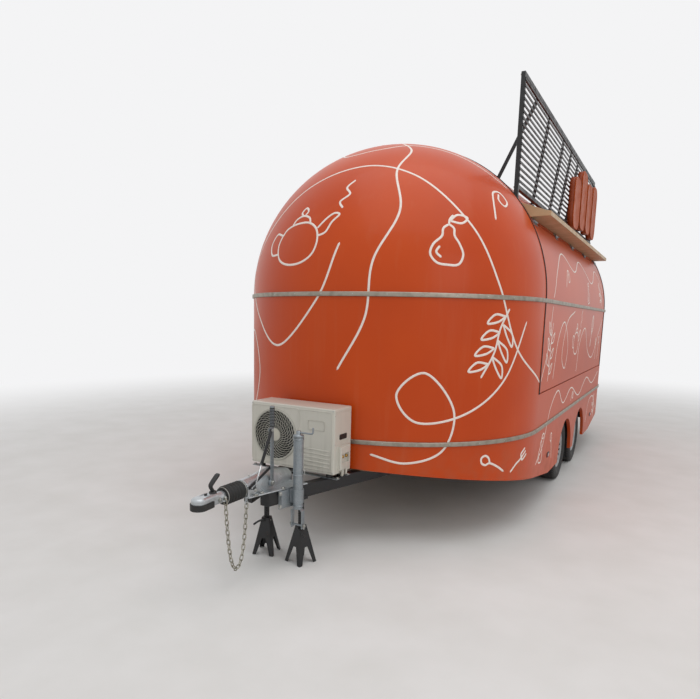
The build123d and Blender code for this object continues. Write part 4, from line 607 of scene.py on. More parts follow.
drawing("tail_drawing", "body", QUARTER + STRAIGHT, [
    [(.06, 1.0), (.5, 1.36), (1.0, 2.1), (1.5, 2.52), (1.95, 2.6), (2.4, 2.34), (2.9, 1.72),
     (3.3, 1.34), (3.6, 1.2)],
    [(.3, .42), (.8, .6), (1.3, 1.08), (1.8, 1.14), (2.3, .86), (2.8, .5), (3.2, .42), (3.6, .52)]],
    [(TEAPOT, 1.4, 1.5, .34, 0), (sprig(7), .5, .8, .5, -12), (PEAR, 2.9, 1.16, .34, 8),
     (WHISK, 2.3, 1.86, .32, 20)])
drawing("left_drawing", "body", -QUARTER, [
    [(-1.1, 1.0), (-1.5, 1.3), (-2.1, 1.46), (-2.7, 1.1), (-3.5, 1.36)],
    [(-.06, 2.1), (-.8, 2.3), (-1.7, 2.04), (-2.6, 2.24), (-3.5, 2.0)],
    [(-1.06, .84), (-1.8, .92), (-2.6, .78), (-3.5, .9)]],
    [(TEAPOT, -1.6, 1.86, .3, 0), (sprig(7), -2.5, 1.3, .5, 10), (FORK, -3.1, 1.86, .26, -12),
     (SPOON, -2.8, 1.86, .26, 10)])


# Small hardware

def hexes(name, rows, body="body"):
    """Hexagon bolts on washers. A row is a place on the surface, the way out and a width in mm.

    Each is a six sided lathe of (radius, height) with a broken edge on a round washer.
    """
    parts = []
    for place, way, width in rows:
        r = width / math.sqrt(3)
        parts += [lathe([(0.5, -1), (r * 1.3, -1), (r * 1.3, 1.8), (0.5, 1.9)], place, way, 20),
                  lathe([(0.5, 1), (r, 1), (r, width * 0.42), (r * 0.86, width * 0.5),
                         (0.5, width * 0.5)], place, way, 6)]
    piece(name, bolt_zinc, parts, body, smooth=False)


def domes(name, places, ways, radius, body="body"):
    """Round rivet heads at many places: (radius * cos e, radius * 0.45 * sin e) turned, in mm."""
    e = np.linspace(0, math.pi / 2, 4)
    profile = [(radius, -1.2), *zip(np.maximum(np.cos(e), 0.02) * radius,
                                    np.sin(e) * radius * 0.45)]
    piece(name, bolt_zinc, [lathe(profile, *spot, 9) for spot in zip(places, ways)], body)


def turned(name, finish, profile, spots, way, count, body="body", caps=True, instead=()):
    """The same lathe at each of several spots."""
    piece(name, finish, [lathe(profile, spot, way, count, caps) for spot in spots], body,
          instead=instead)


def sheet(name, along, rise, body="body", lift=-0.034):
    """A lining on the body's curve: on_body over a grid of along and rise, given a thickness.

    rise is one row for every along, or a row of its own for each.
    """
    r = np.broadcast_to(rise, (len(along), np.shape(rise)[-1]))
    a = np.broadcast_to(np.reshape(along, (-1, 1)), r.shape)
    corners, faces = patch(on_body(a, r, lift)[0])
    piece(name, lining, [(corners, [f[::-1] for f in faces])], body, closed=False, wall=-0.002)


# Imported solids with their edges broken, by the width of the break in millimetres

EASED = {
    2: "body_trims hatch_trim door_trims visor lamps", 3: "counter chassis_rails cross_members",
    1.2: "door_handle stand_bases stand_posts", 3.5: "drawbar_beams", 2.5: "overrun_housing",
    1.5: "hatch_jambs coupler_pad unit_cabinet sign_frame sign_braces",
    1: "wheel_boxes handbrake_lever jack_tube unit_mounts", 0.6: "fan_rotor",
    0.8: "coupler_head jack_leg sign_slats strut_head_brackets",
}
for width, names in EASED.items():
    for name in names.split():
        cast = cast_iron if name in ("overrun_housing", "coupler_head") else None
        eased(name, width / 1000, cast, ring=name in ("body_trims", "coupler_head"))

# Linings inside the body, and rivets along its aluminium bands

FLOOR_TOP, BOX_TOP = 0.54, 0.646
BOX_START, BOX_END = 1.008, 2.602    # wheel boxes, behind the front seam


def over_boxes(back, above, rows):
    """Rises from the floor up, or from just over the wheel boxes, so none hangs in an arch."""
    over = (back > BOX_START) & (back < BOX_END)
    return np.linspace(np.where(over, BOX_TOP, FLOOR_TOP), above, rows, axis=1)


top = SPRING + QUARTER - 0.02
rise = np.linspace(FLOOR_TOP, top, 40)
sheet("nose_lining", np.linspace(-QUARTER, QUARTER, 61), rise)
sheet("tail_lining", QUARTER + STRAIGHT + np.linspace(1e-4, 2 * QUARTER, 61), rise)
sheet("left_lining_front", -QUARTER - np.array([0, 0.12, 0.248]), rise)
sheet("left_lining_over_door", -QUARTER - np.linspace(0.248, 0.972, 4), np.linspace(2.26, top, 20))
back = np.array([0.972, BOX_START, BOX_START + 0.001, 1.7, 2.2, BOX_END - 0.001, BOX_END,
                 STRAIGHT])
sheet("left_lining_rear", -QUARTER - back, over_boxes(back, top, 40))
back[0] = 0
sheet("skirt_lining", QUARTER + back, over_boxes(back, 0.93, 3))
sheet("roof_lining", QUARTER + np.linspace(0, STRAIGHT, 12), np.linspace(2.29, top, 20))
sheet("door_lining", -QUARTER - np.linspace(0.282, 0.938, 4), np.linspace(FLOOR_TOP, 2.17, 24),
      "door_leaf", -0.0305)
sheet("hatch_lining", QUARTER + np.linspace(0.09, STRAIGHT - 0.09, 12), np.linspace(1.02, 2.2, 24),
      "hatch_panel", -0.0305)

turn = np.arange(-1.76, 1.77, 0.22)
straight = np.arange(0.11, STRAIGHT, 0.22)
high_band = np.r_[turn, QUARTER + STRAIGHT + 1.84 + turn, -QUARTER - straight[straight > 0.98],
                  -QUARTER - 0.12]
low_band = np.r_[turn, QUARTER + straight, high_band[len(turn):]]
RIVET, BAND_LIFT = 4.2, 0.012
spots, ways = on_body(np.r_[low_band, high_band],
                      np.r_[low_band * 0 + 0.697, high_band * 0 + SPRING], BAND_LIFT)
domes("band_rivets", spots, ways, RIVET)
domes("hatch_band_rivets", *on_body(QUARTER + straight, SPRING, BAND_LIFT), RIVET, "hatch_panel")

# Wheels: the tyre's rows are distance from its middle, radius and depth of the cuts, in mm

TYRE = [(76.5, 178.3, 0), (79.5, 186, 0), (81.5, 196, 0), (86.2, 203, 0), (89, 212, 0),
        (89.3, 213.2, 0), (90.5, 213.4, 0), (91.4, 220, 0), (91.9, 228, 0), (91.9, 234.2, 0),
        (92.5, 234.6, 0), (92.5, 236.6, 0), (91.7, 237, 0), (91.1, 246, 0), (89.7, 256, 0),
        (88, 264, 0.5), (85.8, 272, 3), (82, 279.5, 6), (76.5, 285.5, 7), (70, 288.5, 8),
        (60, 289.3, 8), (52.5, 289.5, 8), (51.5, 282.5, 0), (45.5, 282.5, 0), (44.5, 289.7, 6),
        (34, 289.9, 6), (25.5, 290, 6), (24.5, 283, 0), (19.5, 283, 0), (18.5, 290, 4),
        (8, 290, 4)]
PITCHES, HUB_RISE = 66, 0.29


def tyre(hub, hand):
    """Radius = section less cut(turn) * depth: section and depth run across the tyre.

    cut is one over a tenth of each of the 66 pitches, and slants across the tread.
    """
    half = np.array(TYRE) / 1000
    section = np.vstack((half, half[::-1] * (-1, 1, 1)))
    within = np.array([0, 0.03, 0.14, 0.17, 0.6])
    cut = np.tile([0, 1, 1, 0, 0], PITCHES)
    turn = ((np.arange(PITCHES)[:, None] + within) / PITCHES).ravel() * 2 * math.pi
    turn = turn[:, None] + np.abs(section[:, 0]) * 0.7 + (section[:, 0] > 0) * 0.045
    radius = section[:, 1] - cut[:, None] * section[:, 2]
    across = hub[0] + hand * np.broadcast_to(section[:, 0], radius.shape)
    return patch(np.stack((across, hub[1] + radius * np.cos(turn),
                           hub[2] + radius * np.sin(turn)), -1), ring=True, loop=True)


STEEL = [(177.6, 964), (172, 964), (168, 1020), (160, 1056), (110, 1060), (80, 1072),
         (30, 1074), (30, 1083), (78, 1082), (108, 1070), (150, 1068), (162, 1078), (168, 1098),
         (172.4, 1115), (177.6, 1116.5)]
DRUM = [(20.3, 936), (20.3, 1072), (34, 1072), (36, 950), (106, 944), (112, 938), (112, 876.5),
        (104, 876.5), (104, 934), (98, 936)]
COVER = [(2, 1112.5), (12, 1112.3), (18, 1111.5), (28, 1110.5), (33, 1105.5), (45, 1104),
         (60, 1104.8), (64, 1106.2), (69, 1105), (100, 1106.2), (132, 1108), (137, 1110),
         (142, 1109.8), (152, 1109.5), (160, 1112), (168, 1116), (172, 1116.8)]
SLOTS = 14


def wheel_cover(hub_y, hand):
    """Dish of (radius, height) rows, with slots left open between radii 69 and 132 mm."""
    r, x = np.array(COVER).T / 1000
    within = np.array([0, 0.12, 0.24, 0.3, 0.5, 0.7, 0.76, 0.88])
    turn = ((np.arange(SLOTS)[:, None] + within) / SLOTS).ravel() * 2 * math.pi
    spokes = r[:, None, None] * np.stack((0 * turn, np.cos(turn), np.sin(turn)), -1)
    corners, faces = patch(spokes + x[:, None, None] * (hand, 0, 0) + (0, hub_y, HUB_RISE),
                           ring=True)
    row, column = np.divmod(np.arange(len(faces)), len(turn))
    open_slot = (row >= 8) & (row < 10) & np.isin(column % len(within), (3, 4))
    kept = [f[::-hand] for f, gone in zip(faces, open_slot) if not gone]
    return corners, [*kept, list(range(len(turn)))[::hand]]


for corner in ("front_right", "front_left", "rear_right", "rear_left"):
    hand = 1 if "right" in corner else -1
    hub_y = 0.169 if "front" in corner else 1.019
    ride_on, out_way, hub = f"wheel_{corner}", (hand, 0, 0), (0, hub_y, HUB_RISE)
    piece(f"tread_tyre_{corner}", tyre_rubber, [tyre((hand * 1.0405, hub_y, HUB_RISE), hand)],
          ride_on,
          instead=(f"tyre_{corner}",))
    turned(f"wheel_steel_{corner}", black_coat, STEEL, [hub], out_way, 64, ride_on, False,
           (f"rim_{corner}",))
    turned(f"wheel_drum_{corner}", cast_iron, DRUM, [hub], out_way, 64, ride_on, False)
    piece(f"wheel_cover_{corner}", wheel_silver, [wheel_cover(hub_y, hand)], ride_on, closed=False,
          wall=0.002)
    turned(f"wheel_valve_{corner}", black_abs, [(3.5, 40), (4.2, 18), (4, 12), (4.2, 8),
                                                (3.5, 0)],
           [(hand * 1.105, hub_y + 0.147, HUB_RISE)], (-hand, 0, 0), 12, ride_on)

# Coupling on the drawbar

def reach(distance, z, x=0.0):
    """A point on the drawbar: how far it lies ahead of the body, its height and its X."""
    return np.array((x, FRONT - distance, z))


FORWARD = np.array((0.0, -1.0, 0.0))
wave = np.linspace(0, 6, 97)
folds = 44.5 + 8.5 * (0.5 - 0.5 * np.cos(2 * math.pi * wave)) ** 0.75
turned("bellows_folds", bellows_rubber,
       [(26.2, 0), (46.2, 0), (46.2, 5), *zip(folds, 6 + wave / 6 * 142.7), (46.2, 149.5),
        (46.2, 154.5), (26.2, 154.5)], [reach(0.8033, 0.54)], FORWARD, 64, caps=False,
       instead=("bellows",))
turned("bellows_clips", bolt_zinc, [(46.2, 0), (47.8, 0), (47.8, 6), (46.2, 6)],
       [reach(at, 0.54) for at in (0.8045, 0.9505)], FORWARD, 48, caps=False)
hexes("coupler_bolts",
      [(reach(at, 0.54, side * 0.0318), (side, 0, 0), 17) for at in (0.972, 1.012)
       for side in (-1, 1)]
      + [(reach(at, 0.503, side * out), (0, 0, 1), 19)
         for out, *spots in ((0.068, 0.7, 0.755), (0.115, 0.42, 0.56))
         for at in spots for side in (-1, 1)]
      + [(reach(*spot), (1, 0, 0), width)
         for *spot, width in ((0.785, 0.545, 0.0885, 13), (0.6, 0.54, 0.0663, 22),
                              (0.63, 0.858, 0.0885, 11))])
turned("grease_nipples", bolt_zinc,
       [(6, 0), (6, 4), (3.5, 6), (3.5, 11), (4.5, 12.5), (2.5, 16), (0.5, 16.2)],
       [reach(0.735, 0.5935), reach(0.5, 0.608)], (0, 0, 1), 10)
turned("housing_rear_cap", black_abs, [(36, 0), (36, -8), (32, -13), (0.5, -14)],
       [reach(0.3785, 0.54)], FORWARD, 40)
turned("shaft_wiper", seal_rubber, [(25.4, 0), (41, 0), (41, -4), (25.4, -4)],
       [reach(0.8035, 0.54)], FORWARD, 40, caps=False)

# Coupler handle: a flat grip on a bent arm, its collar, lock button and spring
arm = curve([reach(1.027, 0.5795), reach(1.036, 0.596), reach(1.046, 0.617), reach(1.034, 0.633),
             reach(1.01, 0.653), reach(0.9865, 0.6705)], 40)
wide = np.interp(np.arange(40), [0, 10, 20, 36, 39], [0.022, 0.022, 0.026, 0.028, 0.022])
thick = np.interp(np.arange(40), [0, 14, 24, 36, 39], [0.014, 0.014, 0.017, 0.017, 0.01])
grip = np.stack([bar(1, 1, 0.3, 4)] * 40) * np.stack((thick, wide), -1)[:, None]
piece("coupler_grip", black_abs, [sweep(arm, grip, (1, 0, 0))], instead=("coupler_handle",))
piece("coupler_collar", black_abs,
      [lathe([(21, -4), (21, 4), (18, 9), (11, 12), (0.5, 12.5)],
             reach(1.03, 0.577), (0, -0.25, 1), 28),
       lathe([(8, 0), (8, 7), (6, 10), (0.5, 11)],
             reach(1.082, 0.576), (0, 0, 1), 20)])
piece("coupler_ribs", cast_iron,
      [sweep(curve([reach(1.125, 0.5745, x * 0.75), reach(1.09, 0.578, x * 0.95),
                    reach(1.05, 0.5765, x)], 12), circle(0.0035, 8), (1, 0, 0))
       for x in (-0.02, 0.02)])

# Handbrake: ribbed grip, black bracket and gas spring
ribs = np.arange(49)
turned("brake_grip", black_abs,
       [(13.2, 871), *zip(14.6 - 0.6 * (ribs % 4 > 1), 874 + ribs / 48 * 104), (14, 984),
        (11.5, 990.5), (6, 993.5), (0.5, 993.8)], [reach(0.6, 0, 0.0623)], (0, 0, 1), 28)
piece("brake_bracket", black_coat,
      [sweep([reach(0.608, 0.632, 0.0545), reach(0.71, 0.589, 0.0545), reach(0.8, 0.5515, 0.0545)],
             bar(0.018, 0.004, 0.0012), (1, 0, 0))], bevel=0.0006)
head, foot = reach(0.63, 0.858, 0.0796), reach(0.785, 0.545, 0.0796)
run = np.linalg.norm(foot - head) * 1000
piece("brake_spring_tube", black_coat,
      [lathe([(6, -7), (8.8, -4), (9, 4), (9, run * 0.55), (7.8, run * 0.555), (4.5, run * 0.557)],
             head, foot - head, 24),
       lathe([(8.5, 0), (8.5, 16), (4.5, 18)], foot, head - foot, 20)],
      instead=("handbrake_spring",))
piece("brake_spring_rod", chrome,
      [lathe([(4, run * 0.55), (4, run - 12)], head, foot - head, 20),
       lathe([(3.5, 0), (3.5, 36)], (0.0525, *foot[1:]), (1, 0, 0), 14)])

# Safety chain: round wire links along the curve of a hanging line

LINKS, LONG, BROAD, WIRE, PLAY = 29, 0.042, 0.024, 0.006, 0.0008
spans = np.where(np.arange(LINKS) % 2 == 1, LONG - BROAD, LONG - 2 * PLAY)


def slopes(run, rise):
    """Slope of link i = atan((i + 1/2 - m) / p), with m and p found by halving.

    They make the links' runs add up to run, and their rises to rise.
    """
    def turned(pull):
        low, high = 0.0, float(LINKS)
        for _ in range(60):
            middle = (low + high) / 2
            angles = np.arctan2(np.arange(LINKS) + 0.5 - middle, pull)
            low, high = (middle, high) if (spans * np.sin(angles)).sum() > rise else (low, middle)
        return angles

    low, high = 0.001, 1000.0
    for _ in range(80):
        pull = math.sqrt(low * high)
        low, high = (low, pull) if (spans * np.cos(turned(pull))).sum() > run else (pull, high)
    return turned(pull)


def chain(start, end):
    """Each link: a ring of two half circles and two straights, swept with a round wire.

    The welded seam is a slight bulge at the middle of one straight.
    """
    span = end - start
    flat = np.hypot(*span[:2])
    way = np.array((*span[:2] / flat, 0))
    aside = np.cross(way, (0, 0, 1))
    angles = slopes(flat, span[2])
    along = way * np.cos(angles)[:, None] + np.array((0, 0, 1)) * np.sin(angles)[:, None]
    ends = start + np.vstack((np.zeros(3), np.cumsum(along * spans[:, None], axis=0)))
    t = np.linspace(-math.pi / 2, math.pi / 2, 8)
    bend = (BROAD - WIRE) / 2
    half = np.stack((LONG / 2 - BROAD / 2 + bend * np.cos(t), bend * np.sin(t)), -1)
    ring = np.vstack((half, (0, bend), -half, (0, -bend)))
    wire = np.full(len(ring), WIRE / 2)
    wire[8] *= 1.12
    parts = []
    for k in range(LINKS):
        middle = ends[k] + along[k] * spans[k] / 2
        second = np.cross(aside, along[k]) if k % 2 else aside
        path = middle + ring[:, :1] * along[k] + ring[:, 1:] * second
        profile = circle(1.0, 8) * wire[:, None, None]
        parts.append(sweep(path, profile, np.cross(along[k], second), loop=True))
    return parts


eye_z = 0.495 - 0.008 - 0.003 - 0.034
piece("chain_links", chain_zinc,
      chain(reach(0.99, 0.533 + 0.003 + WIRE + 0.0012, 0.04 + 0.014 - 0.003),
            reach(0.755, eye_z - 0.008 + WIRE + 0.0012)), instead=("safety_chains",))

# Jack: collars, clamp bolts, fork bolt and crank

JACK = reach(0.495, 0, 0.17511)
beam_way = unit((-540, -2050, 0))
beam_out = np.array((-beam_way[1], beam_way[0], 0))


def beside_beam(distance, z, out):
    """A point at a distance ahead of the body, out from the right drawbar beam's middle."""
    return reach(distance, z, 0.06 + (0.668 - distance) * 540 / 2050) + beam_out * out


turned("jack_collars", zinc, [(30, 0), (32.5, 1.5), (32.5, 10.5), (30, 12)],
       [JACK + (0, 0, z) for z in (0.789, 0.575, 0.3885)], (0, 0, 1), 40, caps=False)
piece("jack_clamp_pads", zinc,
      [sweep([beside_beam(at, z, 0.0392) for z in (0.398, 0.486)], bar(0.022, 0.004, 0.001),
             FORWARD) for at in (0.478, 0.586)], bevel=0.0006)
hexes("jack_bolts", [(beside_beam(at, z, out), beam_out * np.sign(out), 17)
                     for out, *rises in ((0.0412, 0.404, 0.48), (-0.0302, 0.432, 0.48))
                     for at in (0.478, 0.586) for z in rises])
hexes("fork_bolt", [(JACK + (side * 0.0442, 0, 0.275), (side, 0, 0), 16) for side in (-1, 1)],
      "jack_slider")
rod = curve([(0.012, 0, 0.836), (0.06, 0, 0.836), (0.088, 0, 0.8365), (0.0975, 0, 0.841),
             (0.1, 0, 0.851), (0.1, 0, 0.8725)], 40)
piece("crank_rod", zinc, [sweep(JACK + rod, circle(0.0052, 14), (0, 1, 0))],
      instead=("jack_crank",))
turned("crank_head", zinc, [(31.8, 806.4), (31.8, 818), (30, 820.5), (16, 823), (14, 826),
                            (14, 842), (12, 844.5), (0.5, 845)],
       [JACK], (0, 0, 1), 40)
hook = curve([(0.03, 0, 0.62), (0.042, 0, 0.615), (0.045, 0, 0.6), (0.04, 0, 0.585),
              (0.03, 0, 0.58)], 20)
piece("jack_foot_hook", bolt_zinc, [sweep(JACK + hook, circle(0.0028, 8), (0, 1, 0))])

# Stands: notches of the ratchet posts, a lever and a pin on each neck

for side, word in ((1, "right"), (-1, "left")):
    neck = reach(0.395, 0, side * (0.06 + 0.273 * 540 / 2050))
    way = np.array((side * beam_way[0], beam_way[1], 0))
    out = np.array((-way[1], way[0], 0)) * side
    turn = np.stack((way, out, (0, 0, 1)))
    piece(f"stand_notches_{word}", black_coat,
          [sweep(neck + [(0.0128, 0, z), (0.0158, 0, z + 0.004)] @ turn, bar(0.018, 0.007, 0.0015))
           for z in np.arange(0.245, 0.385, 0.0155)])
    lever = curve([(0.021, 0, 0.218), (0.03, 0.012, 0.222), (0.033, 0.042, 0.21),
                   (0.035, 0.074, 0.186)], 30)
    piece(f"stand_lever_{word}", black_coat,
          [sweep(neck + lever @ turn, bar(0.012, 0.016, 0.004), way)])
    piece(f"stand_collar_{word}", black_coat,
          [sweep(neck + [(0, 0, 0.2302), (0, 0, 0.2352)], bar(0.052, 0.052, 0.006), way)],
          bevel=0.001)
    domes(f"stand_pins_{word}", [neck + out * 0.0262 * s + (0, 0, 0.214) for s in (-1, 1)],
          [-out, out], 7)

# Air conditioner: front panel, screws, side valves, fan guard

FRONT_Y = -2.626
FAN = np.array((-0.19, FRONT_Y, 0.736))


def ridge(name, width, lines):
    """Ridges pressed in the cabinet's front: a low rounded bar swept along lines of (x, z)."""
    piece(name, enamel, [sweep(np.insert(p, 1, FRONT_Y, axis=1), bar(width, 0.007, 0.0025),
                               FORWARD, loop=len(p) > 8) for p in lines])


def rounded(x0, x1, z0, z1, corner):
    """A rounded rectangle between two X and two Z."""
    return bar(x1 - x0, z1 - z0, corner, 5) + ((x0 + x1) / 2, (z0 + z1) / 2)


ridge("cabinet_border", 0.006, [rounded(0.002, 0.246, 0.548, 0.922, 0.014)])
ridge("cabinet_fan_border", 0.006, [rounded(-0.376, -0.004, 0.548, 0.924, 0.016)])
ridge("cabinet_louvres", 0.009, [[(x, z) for x in (0.02, 0.125, 0.23)]
                                 for z in np.linspace(0.572, 0.676, 5)])
ridge("cabinet_plain_plate", 0.003, [rounded(0.07, 0.19, 0.8, 0.86, 0.008)])
piece("cabinet_lid", enamel, [sweep([(-0.0625, -2.516, 0.9185), (-0.0625, -2.516, 0.9215)],
                                    bar(0.6485, 0.2235, 0.0158, 6), (0, 1, 0))], bevel=0.0008)
screws = [((x, FRONT_Y, z), (0, -1, 0)) for x in (-0.374, 0.25) for z in (0.54, 0.931)]
screws += [((0.2602, y, z), (1, 0, 0)) for y in (-2.612, -2.42) for z in (0.72, 0.9)]
domes("cabinet_screws", *zip(*screws), 4.5)
turned("valve_bodies", brass,
       [(8, -4), (8, 6), (11, 6.5), (11, 15), (8.5, 15.5), (8.5, 19), (0.5, 19.5)],
       [(0.2622, y, 0.634) for y in (-2.539, -2.493)], (1, 0, 0), 6)
piece("valve_pipes", foam_tape,
      [sweep(curve([(0.272, y, 0.56), (0.274, y, 0.535), (0.266, y + 0.01, 0.514),
                    (0.236, y + 0.05, 0.5065), (0.2, y + 0.086, 0.505)], 30),
             circle(radius, 14), (0.2, 1, 0.1))
       for y, radius in ((-2.539, 0.01), (-2.493, 0.008))])
piece("side_grip", black_abs, [sweep([(0.259, -2.516, 0.76), (0.2625, -2.516, 0.76)],
                                     bar(0.09, 0.034, 0.008, 5))], bevel=0.0008)
hexes("mount_bolts", [((x, y, 0.5), (0, 0, 1), 15) for x in (-0.388, 0.264)
                      for y in (-2.581, -2.451)])
turned("cabinet_feet", black_abs,
       [(20.5, 500.2), (20.5, 506), (18.5, 510), (18.5, 522), (20.5, 525.5), (20.5, 529.2)],
       [(x, y, 0) for x in (-0.325, 0.2) for y in (-2.581, -2.451)], (0, 0, 1), 24)

rings = [lathe([(r - 0.7, 1.2), (r - 0.7, 3.4), (r + 0.7, 3.4), (r + 0.7, 1.2)], FAN, FORWARD, 80,
               caps=False) for r in np.linspace(65, 145, 5)]
rim = lathe([(159, 0.4), (159, 4), (162, 5), (169, 4.8), (171.8, 3), (172, 0.4)],
            FAN, FORWARD, 96, caps=False)
piece("fan_guard_hoops", guard_pp, [*rings, rim], instead=("fan_guard",))
share = np.linspace(0, 1, 14)
spoke = 0.04 + share * 0.1205
ribs = []
for k in range(32):
    a = math.radians(56) * share ** 1.6 + 2 * math.pi * k / 32
    line = FAN + np.stack((spoke * np.cos(a), np.full(14, -0.0034), spoke * np.sin(a)), -1)
    ribs.append(sweep(line, bar(0.0032, 0.0026, 0.0008, 1), FORWARD))
piece("fan_guard_swirl", guard_pp, ribs)
turned("fan_guard_hub", hub_pp, [(0.5, 4.5), (20, 4.8), (24, 4.2), (36, 4.5), (41.5, 4),
                                 (42.5, 1), (0.5, 0.8)],
       [FAN], FORWARD, 48)
turned("fan_shroud", black_abs, [(157, -1.8), (157, -82.5), (159.7, -82.5), (159.7, -1.8)],
       [FAN], FORWARD, 64, caps=False)
fins = [sweep([(FAN[0] + d, -2.5445, 0.736 + side * math.sqrt(0.155 ** 2 - d ** 2))
               for side in (-1, 1)], bar(0.0008, 0.004, 0.0003, 1), FORWARD)
        for d in np.arange(-0.15, 0.151, 0.004)]
piece("condenser_fins", foil,
      [*fins, lathe([(0.5, -84.5), (160, -84.5), (160, -83), (0.5, -82.9)],
                    FAN, FORWARD, 64)])
domes("fan_guard_screws", [FAN + (c, -0.0048, s) for c, s in circle(0.1655, 4, math.pi / 4)],
      [(0, -1, 0)] * 4, 4)

# Sign: returns and faces of the plain forms, foot plates of the braces

FORMS = [(2.18, 0.258, 0.36, 0.5, 0.11), (2.6, 0.35, 0.34, 0.6, 0.1),
         (3.01, 0.33, 0.34, 0.54, 0.11), (3.42, 0.35, 0.33, 0.6, 0.12)]


def slabs(rows):
    """The plain forms: rounded rectangles carried along X by rows of X and outward growth."""
    parts = []
    for back, rise, *size in FORMS:
        outline = bar(*size, 8)
        parts.append(patch([[(x, SEAM + back + u, 2.45 + rise + v)
                             for u, v in outline + grow * unit(outline)] for x, grow in rows],
                           ring=True, caps=True))
    return parts


# The returns take the darker copy of the acrylic: painted shade on the sides of the forms
piece("form_returns", acrylic_side_shaded,
      slabs([(0.9218, -0.004), (0.9218, 0), (0.9735, 0), (0.9735, -0.004)]),
      instead=("sign_forms",))
piece("form_faces", acrylic, slabs([(0.973, -0.006), (0.973, 0.0005), (0.979, 0.0005),
                                    (0.9808, -0.001), (0.9814, -0.006), (0.98, -0.012)]))
feet, bolts = [], []
for spread, *backs in ((0.29, 0.555, 3.42), (0.105, 1.039, 1.745, 2.194, 2.634, 3.1)):
    x = 0.9 - spread
    z = SPRING + math.sqrt(SKIN ** 2 - x ** 2)
    out = unit((x, 0, z - SPRING))
    for back in backs:
        spot = np.array((x, SEAM + back, z))
        feet.append(sweep([spot - out * 0.001, spot + out * 0.004], bar(0.07, 0.06, 0.006),
                          (0, 1, 0)))
        bolts += [(spot + out * 0.004 + (0, side * 0.024, 0), out, 11) for side in (-1, 1)]
piece("brace_feet", black_coat, feet, bevel=0.0008)
hexes("brace_bolts", bolts)
hexes("frame_bolts", [((0.8848, SEAM + 0.027 + k * 0.9375, z), (-1, 0, 0), 12)
                      for k in range(5) for z in (2.465, 3.225)])

# Lamps: black bezels, and the door's lock and hinge screws

bezels = []
for side in (1, -1):
    a = math.radians(90 - side * 40)
    way = np.array((math.cos(a), math.sin(a), 0))
    bezels.append(lathe([(55.2, -4), (55.2, 12), (57.5, 14), (61, 10), (62, -4)],
                        (0, TAIL, 0.59) + way * SKIN, way, 48, caps=False))
    for back in (0.537, 3.076):
        outline = bar(0.078, 0.034, 0.01, 5) + (SEAM + back, 0.41)
        bezels.append(sweep(np.insert(outline, 0, side * (SKIN + 0.0025), axis=1),
                            bar(0.006, 0.007, 0.002, 2), (side, 0, 0), loop=True))
piece("lamp_bezels", black_abs, bezels)
domes("door_hinge_screws", [(-1.1732, -0.9245, z + dz) for z in (0.8, 1.18, 1.56)
                            for dz in (-0.035, 0.035)], [(-1, 0, 0)] * 6, 3.5, "door_leaf")
turned("door_lock", chrome, [(11.5, 0), (11.5, 4), (9.5, 6), (0.5, 6.2)],
       [(-1.17, -0.327, 1.105)], (-1, 0, 0), 24, "door_leaf")

# Camera at the photograph's place, direction and framing, for 700 x 699 pixels

YAW, PITCH, ROLL = np.radians((-30.652, -8.816, 1.195))
FOCUS, MIDDLE = 576.33, (335.058, 406.757)
ahead_way = np.array((math.sin(YAW) * math.cos(PITCH), math.cos(YAW) * math.cos(PITCH),
                      math.sin(PITCH)))
level = np.array((math.cos(YAW), -math.sin(YAW), 0))
upright = np.cross(level, ahead_way)
right = math.cos(ROLL) * level + math.sin(ROLL) * upright
top = math.cos(ROLL) * upright - math.sin(ROLL) * level
view = bpy.data.cameras.new("photo_camera")
view.sensor_width = 36.0
view.lens = 36.0 * FOCUS / 700
view.shift_x = (350 - MIDDLE[0]) / 700
view.shift_y = (MIDDLE[1] - 349.5) / 700
camera = bpy.data.objects.new("photo_camera", view)
camera.matrix_world = Matrix((*np.column_stack((right, top, -ahead_way,
                                                (2.03, -5.609, 1.5))).tolist(), (0, 0, 0, 1)))
bpy.context.collection.objects.link(camera)
bpy.context.scene.camera = camera

# Pale floor that fades into the backdrop with distance, soft sky and two large lamps

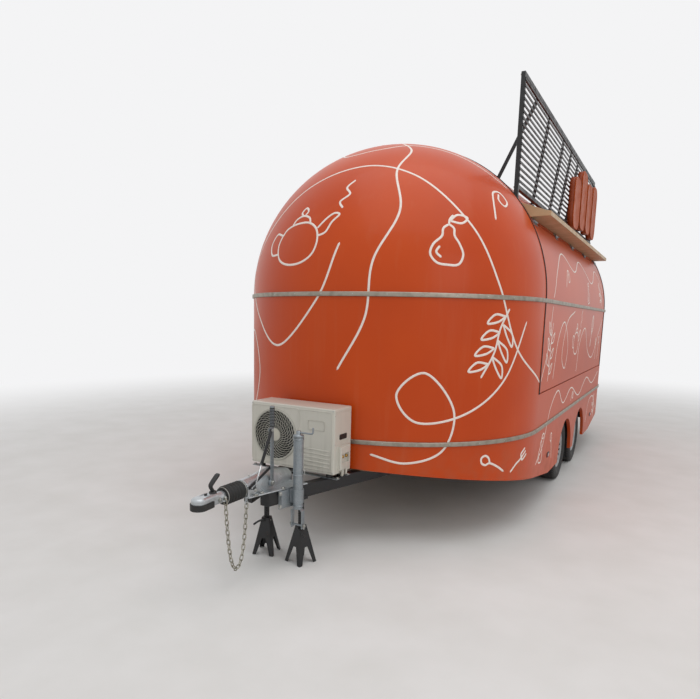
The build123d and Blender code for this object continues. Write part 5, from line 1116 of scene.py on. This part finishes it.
PALE = "F4F4F5"
made, add, shader, place = finish("pale_floor", Roughness=0.9)
mottle = add("TexNoise", {"Vector": place, "Scale": 2.5, "Detail": 5.0})
tone = add("ValToRGB", {"Fac": mottle}, stops=((0.3, "E3E2DF"), (0.7, "EAE9E7")))
add(shader, {"Base Color": tone})
squashed = add("Mapping", {"Vector": place, "Scale": (1, 0.8, 1)})
away = add("VectorMath", {0: squashed}, "Value", operation="LENGTH")
fade = add("MapRange", {"Value": away, "From Min": 3.6, "From Max": 10.0},
           interpolation_type="SMOOTHSTEP")
fade = add("Math", {0: fade, 1: add("LightPath", out="Is Camera Ray")}, operation="MULTIPLY")
glow = add("Emission", {"Color": PALE})
surface = add("MixShader", {0: fade, 1: shader.outputs[0], 2: glow})
made.node_tree.links.new(surface, made.node_tree.nodes["Material Output"].inputs["Surface"])
east, north = np.meshgrid(np.linspace(-60, 60, 3), np.linspace(-60, 60, 3), indexing="ij")
corners, faces = patch(np.dstack((east, north, np.zeros((3, 3)))))
floor_mesh = bpy.data.meshes.new("floor")
floor_mesh.from_pydata(corners.tolist(), [], faces)
floor_mesh.materials.append(made)
floor = bpy.data.objects.new("floor", floor_mesh)
bpy.context.collection.objects.link(floor)

sky = bpy.data.worlds.new("soft_sky")
sky.use_nodes = True
bpy.context.scene.world = sky
tree = sky.node_tree
seen = 0
for kind in ("Camera", "Glossy", "Transmission"):
    ray = node(tree, "LightPath", out=f"Is {kind} Ray")
    seen = node(tree, "Math", {0: seen, 1: ray}, operation="MAXIMUM")
strength = node(tree, "MapRange", {"Value": seen, "To Min": 0.66, "To Max": 1.0})
tree.nodes["Background"].inputs["Color"].default_value = linear(PALE)
tree.links.new(strength, tree.nodes["Background"].inputs["Strength"])
for name, spot, aim, size, power in (("sky_lamp", (1.5, -2.5, 7.5), (0, -0.5, 1), 7.0, 180),
                                     ("side_lamp", (7.5, -5.5, 4.0), (0, 0, 1.2), 4.0, 60)):
    lamp = bpy.data.lights.new(name, "AREA")
    lamp.size, lamp.energy = size, power
    shown = bpy.data.objects.new(name, lamp)
    back = unit(np.subtract(spot, aim))
    across_way = unit(np.cross((0, 0.1, 1), back))
    shown.matrix_world = Matrix((*np.column_stack((across_way, np.cross(back, across_way), back,
                                                   spot)).tolist(), (0, 0, 0, 1)))
    bpy.context.collection.objects.link(shown)

bpy.context.scene.view_settings.view_transform = "Standard"
